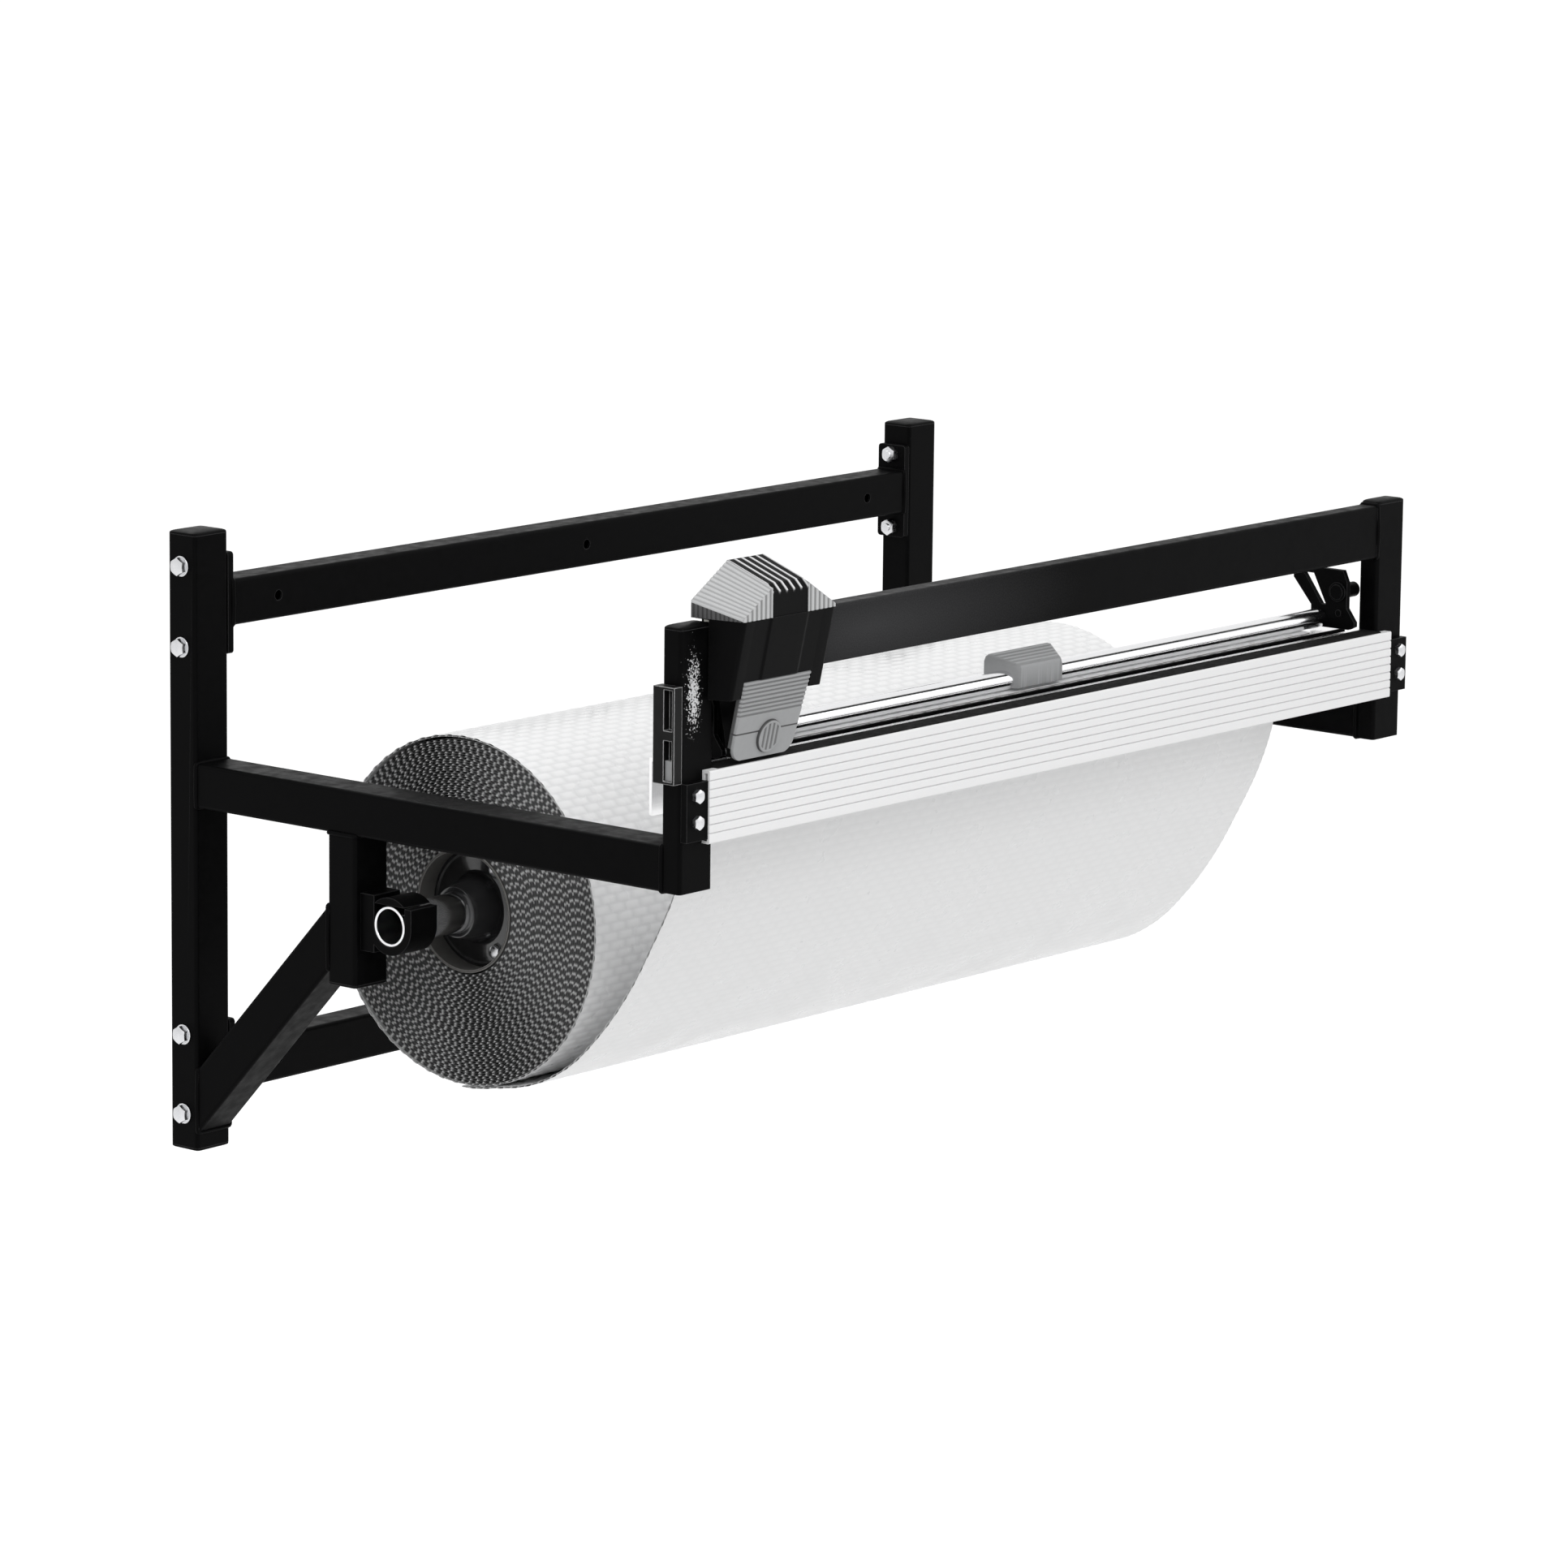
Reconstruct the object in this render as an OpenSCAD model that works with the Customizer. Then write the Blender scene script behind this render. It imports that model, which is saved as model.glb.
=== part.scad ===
// Wall-hung cutting stand for wide film on a roll
// Width runs along X, the wall is the plane y = 0 and the stand reaches out to -Y.
// The origin is the centre of the wall hole pattern.

/* [Wall frame] */
// Overall width over the two uprights
frame_w = 1250; // [1150:10:1600]
// Width of every frame tube along X
tube_w = 50; // [44:1:60]
// Depth of the uprights and wall rails, wall to front
tube_d = 40; // [34:1:50]
// Wall thickness of the frame tubes
tube_wall = 2.5; // [2:0.25:4]
// Outer corner radius of the frame tubes
tube_round = 4; // [3:0.5:6]
// Height between the centres of the two wall rails
rail_spacing = 508; // [490:1:560]
// Height of a wall rail
rail_h = 50; // [40:1:56]
// From the lower rail's centre down to the upright's foot
foot_drop = 80; // [70:1:110]
// From the upper rail's centre up to the upright's head
head_rise = 77; // [66:1:110]
// Height of the flange at each rail end
flange_h = 110; // [106:1:124]
// Thickness of the rail flange
flange_t = 8; // [6:0.5:12]
// Distance between the two bolts of a flange
flange_bolt_gap = 87; // [84:1:92]
// From the rail's end to the outer wall hole
wall_hole_inset = 69; // [50:1:140]
// Diameter of the wall holes
wall_hole_d = 11; // [8:0.5:13]
// Thread size of the frame bolts
frame_bolt_d = 10; // [8:1:10]

/* [Arms and braces] */
// Height of the arm tube
arm_h = 48; // [40:1:54]
// Height of the arm's centre over the origin
arm_rise = 63; // [55:1:70]
// From the wall to the front end of the arm
arm_front = 695; // [690:1:705]
// From the wall to the front face of the hanger
hanger_front = 273; // [250:1:278]
// Depth of the hanger tube
hanger_d = 40; // [34:1:44]
// From the origin down to the hanger's lower end
hanger_low = 121; // [105:1:140]
// Thickness of the slanted brace tube
brace_h = 48; // [38:1:50]
// Centre of the brace at the upright, below the origin
brace_foot = 281; // [265:1:284]
// Centre of the brace at the hanger, below the origin
brace_head = 74; // [70:1:90]

/* [Posts and crossbar] */
// Depth of the front posts and of the crossbar
post_d = 25; // [22:1:30]
// Height of the posts' upper end over the origin
post_top = 308; // [306:1:312]
// Height of the crossbar
crossbar_h = 60; // [50:1:66]
// Drop from the post's upper end to the crossbar's top
crossbar_drop = 1; // [0:0.5:3]

/* [Cutting table] */
// Height of the table's top over the origin
table_top = 163; // [160:1:165]
// Depth of the table from its front wall to its back wall
table_depth = 85; // [80:1:92]
// Height of the table channel
table_h = 60; // [45:1:70]
// Wall thickness of the table channel
table_wall = 4; // [3:0.5:5]
// Height of the front profile
profile_h = 75; // [66:1:75]
// Thickness of the front profile
profile_t = 10; // [9:0.5:12]
// Number of grooves along the front profile
profile_grooves = 7; // [3:1:9]
// Distance from the frame's side to the profile's end
profile_inset = 33.5; // [30:0.5:38]
// From the table's front wall to the middle of the blade groove
groove_place = 34; // [33:0.5:36]
// Width of the blade groove
groove_w = 20; // [16:1:22]
// Depth of the blade groove
groove_depth = 14; // [12:1:18]
// Width of the bright lip before the blade groove
lip_w = 6; // [4:0.5:7]
// Width of the rubber strip
strip_w = 24; // [16:1:24]
// Thickness of the rubber strip above the table
strip_t = 1.5; // [1:0.25:2]

/* [Film and roll] */
// Radius of the full roll
roll_r = 188; // [140:1:205]
// From the frame's left side to the film's end
film_left = 121; // [100:1:180]
// From the frame's right side to the film's end
film_right = 113; // [100:1:180]
// Thickness of the film
film_t = 2.4; // [1.5:0.1:3]
// Inner diameter of the cardboard core
core_bore = 127; // [110:1:132]
// Wall of the cardboard core
core_wall = 3; // [2:0.5:5]
// Loops of film drawn on the roll
roll_loops = 24; // [10:1:24]
// Free space between two loops
loop_gap = 0.6; // [0.5:0.1:1]
// Diameter of the axle tube
axle_d = 43; // [34:1:45]
// Wall of the axle tube
axle_wall = 3; // [2:0.5:4]
// From the hanger's front face to the axle's centre
cradle_stand = 41; // [38:0.5:50]
// Centre of the axle below the origin
axle_low = 52; // [40:1:60]
// Width of a cradle
cradle_w = 40; // [30:1:44]
// Wall of a cradle
cradle_wall = 9; // [6:0.5:10]
// From the frame's side to the cradle's outer end
cradle_inset = 8; // [4:1:10]

/* [Hold-down bar] */
// Diameter of the hold-down bar
bar_d = 22; // [18:0.5:22]
// Thickness of a lever plate
lever_t = 6; // [4:0.5:8]
// From the post's inner side to the lever plate
lever_gap = 24; // [20:1:26]
// Diameter of the pivot shaft
shaft_d = 17; // [14:0.5:18]
// From the table's front wall back to the pivot's centre
pivot_back = 32; // [31:0.5:34]
// Height of the pivot over the table's top
pivot_rise = 46; // [45:0.5:48]
// From the pivot back to the bar's centre
bar_back = 26; // [25:0.5:28]
// Length of the grip along its front
grip_w = 76; // [60:1:90]
// Length of the grip along its back
grip_back_w = 115; // [95:1:130]
// Grip centre beside the frame's centre
grip_shift = 15; // [-30:1:30]

/* [Cutter head] */
// From the frame's side to the head's centre at rest
head_inset = 118; // [116:1:124]
// Half width of the head at its front
head_half = 72; // [68:1:74]
// Half width of the head at its shoulders
shoulder_half = 83; // [78:1:85]
// Half width of the ribbed middle band
band_half = 28; // [22:1:32]
// From the table's front wall to the head's foremost edge
head_proud = 43; // [40:1:46]
// Height of the dome over the deck
dome_h = 52; // [44:1:56]
// Lean of the head's front
head_lean = 12.5; // [11:0.5:13]
// Wall thickness of the head's shells
shell_t = 2.5; // [2:0.25:3]
// Half width of the carriage and of the grey covers
cover_half = 53; // [48:1:55]
// Thickness of the grey covers
cover_t = 3; // [2.5:0.25:3.5]
// Length of the grey covers down the lean
cover_l = 86; // [84:1:87]
// Radius of the release button
button_r = 17.5; // [14:0.5:18]
// Travel of the release button
button_travel = 3; // [1.5:0.5:3]
// Thickness of the blade
blade_t = 0.6; // [0.4:0.1:1]

/* [Hidden] */
$fn = 48;

// Clearances
cut = 1;
seat = 0.3;
run = 0.3;
slip = 0.05;
thread_gap = 0.2;

// Places of the frame
half_w = frame_w / 2;
side_x = half_w - tube_w / 2;
inner_x = half_w - tube_w;
rail_z = rail_spacing / 2;
foot_z = -rail_z - foot_drop;
head_z = rail_z + head_rise;
rail_end = inner_x - flange_t;
bolt_z = [for (s = [-1, 1], t = [-1, 1]) s * rail_z + t * flange_bolt_gap / 2];
bolt_clear = 1;
wall_hole_gap = rail_end - wall_hole_inset;
hex_share = 1 / cos(30);
frame_hex_share = 1.7;
frame_head_share = 0.64;
frame_nut_share = 0.8;
washer_d_share = 2.2;
washer_t_share = 0.2;
frame_hex = frame_hex_share * frame_bolt_d;
frame_head_h = frame_head_share * frame_bolt_d;
frame_nut_h = frame_nut_share * frame_bolt_d;
washer_d = washer_d_share * frame_bolt_d;
washer_t = washer_t_share * frame_bolt_d;
cap_t = 5;
cap_plug = 12;
cap_fit = 0.2;
cap_edge_share = 0.4;

// Places of the arms, posts and beam
arm_low = arm_rise - arm_h / 2;
hanger_back = hanger_front - hanger_d;
brace_run = hanger_back - tube_d;
brace_climb = brace_foot - brace_head;
brace_tilt = atan(brace_climb / brace_run);
post_front = arm_front + post_d;
crossbar_top = post_top - crossbar_drop;
crossbar_low = crossbar_top - crossbar_h;
table_front = post_front;
table_back = table_front - table_depth;
groove_y = table_front - groove_place;
lip_h = 1.2;
liner_t = 1.5;
profile_front = post_front + profile_t;
profile_end = half_w - profile_inset;
profile_low = table_top - profile_h;
profile_wall = 3;
groove_side = 1.7;
groove_band_share = 0.84;
plate_t = 8;
plate_h = 60;
plate_rise = -10;
plate_edge = 1;
tongue_l = 18;
beam_bolt_d = 8;
beam_bolt_gap = 27;
beam_bolt_side = 16;
beam_bolt_drop = 23.5;
beam_head_share = 0.66;
beam_hex_share = 1.625;
beam_hex = beam_hex_share * beam_bolt_d;
table_screw_d = 6;
table_screw_gap = 260;
bracket_out = 12;
bracket_w = 28;
bracket_h = 99;
bracket_low = 10;
bracket_wall = 3;
bracket_bridge = 10;

// Places of the roll
axle_r = axle_d / 2;
axle_reach = hanger_front + cradle_stand;
cradle_r = axle_r + run + cradle_wall;
cradle_x = half_w - cradle_inset;
core_r = core_bore / 2 + core_wall;
roll_x0 = film_left - half_w;
roll_x1 = half_w - film_right;
loop_pitch = (roll_r - core_r - loop_gap) / roll_loops;
loop_t = loop_pitch - loop_gap;
loop_steps = 36;
hub_recess = 25;
hub_disc_t = 6;
hub_collar_wall = 6;
hub_root_wall = 17;
hub_collar_r = axle_r + hub_collar_wall;
hub_root_r = axle_r + hub_root_wall;
hub_proud = 12;
hub_fit = 0.2;
hub_screw_d = 8;
hub_screws_n = 3;

// Places of the hold-down bar
film_z0 = table_top + seat;
film_z1 = film_z0 + film_t;
bar_r = bar_d / 2;
bar_z = film_z1 + seat + bar_r;
pivot_y = -(table_front - pivot_back);
pivot_z = table_top + pivot_rise;
bar_y = pivot_y + bar_back;
lever_x1 = inner_x - lever_gap;
lever_x0 = lever_x1 - lever_t;
lever_hub_r = 12;
clip_r = 11;
clip_t = 2;
pin_d = 8;

// Places of the cutter head
head_x = -half_w + head_inset;
slide_travel = frame_w - 2 * head_inset;
shoe_t = 2;
deck_t = 6.7;
car_wall = 3;
deck_low = crossbar_top + run + shoe_t;
deck_z = deck_low + deck_t;
head_front = table_front + head_proud;
lean_share = tan(head_lean);
shell_gap = 2.5;
shell_back = post_front + shell_gap;
shell_drop = 82;
cover_drop = 66.6;
cover_split = 56.3;
button_drop = 130.1;

function front_y(z) = -head_front + (deck_z - z) * lean_share;

// Shapes that every tube and plate share
module rounded(w, h, r) {
    square([w - 2 * r, h], center = true);
    square([w, h - 2 * r], center = true);
    for (sx = [-1, 1], sy = [-1, 1]) translate([sx * (w / 2 - r), sy * (h / 2 - r)]) circle(r);
}
module tube_profile(w, h) {
    difference() {
        rounded(w, h, tube_round);
        square([w - 2 * tube_wall, h - 2 * tube_wall], center = true);
    }
}
// Extrudes an outline drawn in Y and Z along X
module along_x(x0, x1) { translate([x0, 0, 0]) rotate([90, 0, 90]) linear_extrude(x1 - x0) children(); }
// Extrudes an outline drawn in X and Z along Y
module along_y(y0, y1) { translate([0, y1, 0]) rotate([90, 0, 0]) linear_extrude(y1 - y0) children(); }
// Extrudes an outline drawn in X and Y along Z
module along_z(z0, z1) { translate([0, 0, z0]) linear_extrude(z1 - z0) children(); }
module block(x0, x1, y0, y1, z0, z1) { translate([x0, y0, z0]) cube([x1 - x0, y1 - y0, z1 - z0]); }
module rod_x(x0, x1, y, z, r) { translate([x0, y, z]) rotate([0, 90, 0]) cylinder(h = x1 - x0, r = r); }
module rod_y(y0, y1, x, z, r) { translate([x, y0, z]) rotate([-90, 0, 0]) cylinder(h = y1 - y0, r = r); }
module hex_x(x0, x1, y, z, flat) {
    translate([x0, y, z]) rotate([0, 90, 0]) cylinder(h = x1 - x0, d = flat * hex_share, $fn = 6);
}
module hex_y(y0, y1, x, z, flat) {
    translate([x, y0, z]) rotate([-90, 0, 0]) cylinder(h = y1 - y0, d = flat * hex_share, $fn = 6);
}
module both_sides() { children(); mirror([1, 0, 0]) children(); }

// Wall frame
module right_upright_shape() {
    difference() {
        along_z(foot_z, head_z) translate([side_x, -tube_d / 2]) tube_profile(tube_w, tube_d);
        for (z = bolt_z)
            rod_x(inner_x - cut, half_w + cut, -tube_d / 2, z, (frame_bolt_d + bolt_clear) / 2);
    }
}
module left_upright() { color("black") mirror([1, 0, 0]) right_upright_shape(); }
module right_upright() { color("black") right_upright_shape(); }

// Domed plug that closes a tube of width w and depth d, its seat at z = 0
module tube_cap(w, d) {
    edge = cap_t * (1 - cap_edge_share);
    reach = norm([w, d]) / 2;
    dome_r = (reach * reach + edge * edge) / (2 * edge);
    intersection() {
        linear_extrude(cap_t) rounded(w, d, tube_round);
        translate([0, 0, cap_t - dome_r]) sphere(dome_r, $fn = 96);
    }
    inner_w = w - 2 * tube_wall - 2 * cap_fit;
    inner_d = d - 2 * tube_wall - 2 * cap_fit;
    translate([0, 0, -cap_plug]) linear_extrude(cap_plug) difference() {
        square([inner_w, inner_d], center = true);
        square([inner_w - 2 * tube_wall, inner_d - 2 * tube_wall], center = true);
    }
}
module tube_caps() {
    color([0.08, 0.08, 0.08]) both_sides() {
        translate([side_x, -tube_d / 2, head_z]) tube_cap(tube_w, tube_d);
        translate([side_x, -tube_d / 2, foot_z]) rotate([180, 0, 0]) tube_cap(tube_w, tube_d);
        translate([side_x, -hanger_front + hanger_d / 2, -hanger_low])
            rotate([180, 0, 0]) tube_cap(tube_w, hanger_d);
        translate([side_x, -post_front + post_d / 2, post_top]) tube_cap(tube_w, post_d);
    }
}

module wall_rail(z) {
    difference() {
        along_x(-rail_end, rail_end) translate([-tube_d / 2, z]) tube_profile(tube_d, rail_h);
        for (s = [-1, 0, 1]) rod_y(-tube_d - cut, cut, s * wall_hole_gap, z, wall_hole_d / 2);
    }
}
module upper_rail() { color("black") wall_rail(rail_z); }
module lower_rail() { color("black") wall_rail(-rail_z); }

module rail_flanges() {
    color([0.05, 0.05, 0.05]) both_sides() difference() {
        for (s = [-1, 1])
            along_x(rail_end, inner_x) translate([-tube_d / 2, s * rail_z])
                rounded(tube_d, flange_h, tube_round);
        for (z = bolt_z)
            rod_x(rail_end - cut, inner_x + cut, -tube_d / 2, z, (frame_bolt_d + bolt_clear) / 2);
    }
}

module frame_bolts() {
    color("silver") both_sides() for (z = bolt_z) {
        rod_x(rail_end - frame_nut_h - washer_t, half_w + washer_t / 2, -tube_d / 2, z, frame_bolt_d / 2);
        rod_x(half_w, half_w + washer_t, -tube_d / 2, z, washer_d / 2);
        hex_x(half_w + washer_t, half_w + washer_t + frame_head_h, -tube_d / 2, z, frame_hex);
    }
}
module frame_nuts() {
    color("silver") both_sides() for (z = bolt_z) difference() {
        hex_x(rail_end - frame_nut_h, rail_end, -tube_d / 2, z, frame_hex);
        rod_x(rail_end - frame_nut_h - cut, rail_end + cut, -tube_d / 2, z, frame_bolt_d / 2 + thread_gap);
    }
}

// Arms, hangers and braces
module right_arm_shape() {
    along_y(-arm_front, -tube_d) translate([side_x, arm_rise]) tube_profile(tube_w, arm_h);
}
module left_arm() { color("black") mirror([1, 0, 0]) right_arm_shape(); }
module right_arm() { color("black") right_arm_shape(); }

module right_hanger_shape() {
    along_z(-hanger_low, arm_low)
        translate([side_x, -hanger_front + hanger_d / 2]) tube_profile(tube_w, hanger_d);
}
module left_hanger() { color("black") mirror([1, 0, 0]) right_hanger_shape(); }
module right_hanger() { color("black") right_hanger_shape(); }

module right_brace_shape() {
    brace_l = norm([brace_run, brace_climb]);
    intersection() {
        translate([side_x, -tube_d, -brace_foot]) rotate([-brace_tilt, 0, 0])
            along_y(-brace_l - 2 * brace_h, 2 * brace_h) tube_profile(tube_w, brace_h);
        block(inner_x - cut, half_w + cut, -hanger_back, -tube_d, foot_z, arm_low);
    }
}
module left_brace() { color("black") mirror([1, 0, 0]) right_brace_shape(); }
module right_brace() { color("black") right_brace_shape(); }

// Open trough on the hanger that the axle lies in
module right_cradle_shape() {
    lip = axle_r;
    difference() {
        along_x(cradle_x - cradle_w, cradle_x) translate([-axle_reach, -axle_low]) {
            circle(cradle_r);
            translate([-cradle_r, 0]) square([2 * cradle_r, lip]);
            translate([axle_r + run, -cradle_r])
                square([axle_reach - hanger_front - axle_r - run, cradle_r + lip + cradle_wall]);
        }
        rod_x(cradle_x - cradle_w - cut, cradle_x + cut, -axle_reach, -axle_low, axle_r + run);
        block(cradle_x - cradle_w - cut, cradle_x + cut, -axle_reach - axle_r - run,
            -axle_reach + axle_r + run, -axle_low, -axle_low + lip + cut);
    }
}
module left_cradle() { color("black") mirror([1, 0, 0]) right_cradle_shape(); }
module right_cradle() { color("black") right_cradle_shape(); }

// Posts and crossbar
module right_post_shape() {
    difference() {
        along_z(arm_low, post_top)
            translate([side_x, -post_front + post_d / 2]) tube_profile(tube_w, post_d);
        for (i = [0, 1])
            rod_y(-post_front - cut, -post_front + tube_wall + cut, half_w - beam_bolt_side,
                table_top - beam_bolt_drop - i * beam_bolt_gap, (beam_bolt_d + bolt_clear) / 2);
    }
}
module left_post() { color("black") mirror([1, 0, 0]) right_post_shape(); }
module right_post() { color("black") right_post_shape(); }
module crossbar() {
    color([0.12, 0.12, 0.12]) along_x(-inner_x, inner_x)
        translate([-post_front + post_d / 2, crossbar_top - crossbar_h / 2])
            tube_profile(post_d, crossbar_h);
}

// Cutting table, an open channel with the blade groove in its top
module cutting_table() {
    groove_front = groove_y + groove_w / 2;
    groove_back = groove_y - groove_w / 2;
    color("gainsboro") along_x(-inner_x, inner_x) difference() {
        union() {
            translate([-table_front, table_top - table_wall]) square([table_depth, table_wall]);
            translate([-table_front, table_top - table_h]) square([table_wall, table_h]);
            translate([-table_back - table_wall, table_top - table_h]) square([table_wall, table_h]);
            translate([-groove_front - profile_wall, table_top - groove_depth - profile_wall])
                square([groove_w + 2 * profile_wall, groove_depth + profile_wall]);
            translate([-groove_front - lip_w, table_top]) square([lip_w, lip_h]);
        }
        translate([-groove_front, table_top - groove_depth]) square([groove_w, groove_depth + cut]);
    }
}
module groove_liner() {
    groove_front = groove_y + groove_w / 2;
    color([0.1, 0.1, 0.1]) along_x(-inner_x, inner_x) difference() {
        translate([-groove_front, table_top - groove_depth]) square([groove_w, groove_depth]);
        translate([-groove_front + liner_t, table_top - groove_depth + liner_t])
            square([groove_w - 2 * liner_t, groove_depth]);
    }
}
module front_profile() {
    band = profile_h * groove_band_share;
    step = band / profile_grooves;
    color("whitesmoke") along_x(-profile_end, profile_end) difference() {
        translate([-profile_front, profile_low]) square([profile_t, profile_h]);
        translate([-profile_front + profile_wall, profile_low + profile_wall])
            square([profile_t - 2 * profile_wall, profile_h - 2 * profile_wall]);
        for (i = [1:profile_grooves])
            translate([-profile_front, table_top - (profile_h - band) / 2 - (i - 0.5) * step])
                rotate(45) square(groove_side, center = true);
    }
}
module rubber_strip() {
    groove_front = groove_y + groove_w / 2;
    strip_back = groove_front + lip_w + lip_h;
    color([0.1, 0.1, 0.1])
        block(-inner_x, inner_x, -strip_back - strip_w, -strip_back, table_top, table_top + strip_t);
}
// Plates on the posts that hold the profile's ends by a tongue
module beam_end_plates() {
    x1 = half_w - plate_edge;
    z1 = table_top + plate_rise;
    tongue_t = profile_t - 2 * profile_wall - 2 * slip;
    color([0.06, 0.06, 0.06]) both_sides() difference() {
        union() {
            block(profile_end, x1, -post_front - plate_t, -post_front, z1 - plate_h, z1);
            block(profile_end - tongue_l, profile_end + cut, -profile_front + profile_wall + slip,
                -profile_front + profile_wall + slip + tongue_t, profile_low + profile_wall + seat,
                min(table_top - profile_wall, z1) - seat);
        }
        for (i = [0, 1])
            rod_y(-post_front - plate_t - cut, -post_front + cut, half_w - beam_bolt_side,
                table_top - beam_bolt_drop - i * beam_bolt_gap, (beam_bolt_d + bolt_clear) / 2);
    }
}
module beam_bolts() {
    head_h = beam_head_share * beam_bolt_d;
    y0 = -post_front - plate_t;
    color("silver") both_sides() for (i = [0, 1]) {
        z = table_top - beam_bolt_drop - i * beam_bolt_gap;
        hex_y(y0 - head_h, y0, half_w - beam_bolt_side, z, beam_hex);
        rod_y(y0 - cut, -post_front + post_d / 2, half_w - beam_bolt_side, z, beam_bolt_d / 2);
    }
}
// Screws that hold the table's front wall to the profile's back
module table_screws() {
    y0 = -table_front + table_wall;
    color("silver") for (s = [-1.5:1:1.5])
        rod_y(y0, y0 + table_wall, s * table_screw_gap, table_top - table_h / 2, table_screw_d);
}
// Cassette on the outer side of the left post
module side_bracket() {
    z0 = table_top - bracket_low;
    y0 = -post_front - profile_wall / 2;
    window_h = (bracket_h - 2 * bracket_wall - bracket_bridge) / 2;
    color([0.06, 0.06, 0.06]) difference() {
        block(-half_w - bracket_out, -half_w, y0, y0 + bracket_w, z0, z0 + bracket_h);
        for (i = [0, 1])
            block(-half_w - bracket_out - cut, -half_w - bracket_wall, y0 + bracket_wall,
                y0 + bracket_w / 2, z0 + bracket_wall + i * (window_h + bracket_bridge),
                z0 + bracket_wall + i * (window_h + bracket_bridge) + window_h);
    }
}
module bracket_block() {
    z0 = table_top - bracket_low;
    y0 = -post_front - profile_wall / 2;
    window_h = (bracket_h - 2 * bracket_wall - bracket_bridge) / 2;
    color("gray") block(-half_w - bracket_out + bracket_wall, -half_w - bracket_wall, y0 + bracket_wall,
        y0 + bracket_w / 2, z0 + bracket_wall, z0 + bracket_wall + window_h / 2);
}

// Pivot pins welded to the posts, with a clip behind each lever
module pivot_shafts() {
    color("silver") both_sides()
        rod_x(lever_x0 - 2 * clip_t, inner_x, pivot_y, pivot_z, shaft_d / 2);
}
module pivot_clips() {
    color("silver") both_sides() difference() {
        rod_x(lever_x0 - seat - clip_t, lever_x0 - seat, pivot_y, pivot_z, clip_r);
        rod_x(lever_x0 - seat - clip_t - cut, lever_x0, pivot_y, pivot_z, shaft_d / 2 + slip);
    }
}

// The film's free stretch: from under the roll in a loose belly, up behind the table and over it
web_y0 = -axle_reach;
web_r = roll_r + 2 * run + film_t / 2;
web_z0 = -axle_low - web_r;
web_y1 = -table_back + seat + film_t / 2;
web_z1 = film_z0 + film_t / 2;
web_bend = film_t / 2 + 2 * seat;
belly_shares = [[-0.14, -0.004], [0, 0], [0.276, 0.034], [0.464, 0.106], [0.614, 0.217], [0.734, 0.34],
    [0.834, 0.475], [0.915, 0.599], [0.97, 0.722], [0.995, 0.84], [1, 0.93], [1, 0.965]];
function belly(i) = [web_y0 + belly_shares[i][0] * (web_y1 - web_y0),
    web_z0 + belly_shares[i][1] * (web_z1 - web_z0)];
function smooth(a, b, c, d, t) =
    (2 * b + (c - a) * t + (2 * a - 5 * b + 4 * c - d) * t * t + (3 * b - a - 3 * c + d) * t * t * t) / 2;
// The film lies against the roll where its belly would cross it
function off_roll(p) = let (d = [p[0] + axle_reach, p[1] + axle_low])
    norm(d) < web_r ? [-axle_reach, -axle_low] + d * web_r / norm(d) : p;
web_steps = 4;
belly_line = [for (i = [1:len(belly_shares) - 3], k = [0:web_steps - 1])
    off_roll(smooth(belly(i - 1), belly(i), belly(i + 1), belly(i + 2), k / web_steps))];
bend_line = [for (a = [0:15:90])
    [web_y1 - web_bend * (1 - cos(a)), web_z1 - web_bend * (1 - sin(a))]];
web_end = -groove_y + groove_w / 2 + seat;
web_line = concat(belly_line, bend_line, [[web_end, web_z1]]);
function turn(v) = [v[1], -v[0]] / norm(v);
function web_side(s) = [for (i = [0:len(web_line) - 1])
    let (a = web_line[max(i - 1, 0)], b = web_line[min(i + 1, len(web_line) - 1)])
    web_line[i] + s * film_t / 2 * turn(b - a)];
function reversed(v) = [for (i = [len(v) - 1:-1:0]) v[i]];
module film_web() {
    color("white") along_x(roll_x0, roll_x1) polygon(concat(web_side(1), reversed(web_side(-1))));
}

// Hold-down bar and its levers
module hold_down_bar() { color("silver") rod_x(-lever_x0, lever_x0, bar_y, bar_z, bar_r); }

// Outline of a lever plate round its pivot, in Y and Z
lever_top = 25;
lever_back = 62;
lever_low = 42;
lever_step = 18;
lever_toe = 23;
lever_toe_rise = 4;
lever_strut = 14;
module lever_outline() {
    heel = bar_back + bar_r;
    difference() {
        union() {
            circle(lever_hub_r);
            polygon([[-lever_hub_r / 2, lever_top], [-lever_hub_r, lever_hub_r - run],
                [-lever_hub_r, -lever_step], [-lever_toe, -lever_low + lever_step / 2],
                [-lever_toe, -lever_low + lever_toe_rise],
                [-lever_toe + 2 * lever_toe_rise, -lever_low], [heel, -lever_low],
                [heel, -lever_step], [lever_back, lever_top - lever_strut], [lever_back, lever_top]]);
        }
        polygon([[heel - lever_strut, -lever_step + clip_t],
            [lever_back - lever_strut, lever_top - lever_strut / 2],
            [lever_back - 2 * lever_strut, lever_top - lever_strut / 2],
            [clip_r + bar_r / 2, -lever_step + clip_t]]);
    }
}
module right_lever_shape() {
    difference() {
        along_x(lever_x0, lever_x1) translate([pivot_y, pivot_z]) lever_outline();
        rod_x(lever_x0 - cut, lever_x1 + cut, pivot_y, pivot_z, shaft_d / 2 + slip);
        rod_x(lever_x0 - cut, lever_x1 + cut, bar_y, bar_z, (pin_d + bolt_clear) / 2);
        rod_x(lever_x0 - cut, lever_x1 + cut, pivot_y - clip_t, bar_z + pin_d, pin_d / 2 + thread_gap);
    }
}
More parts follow.
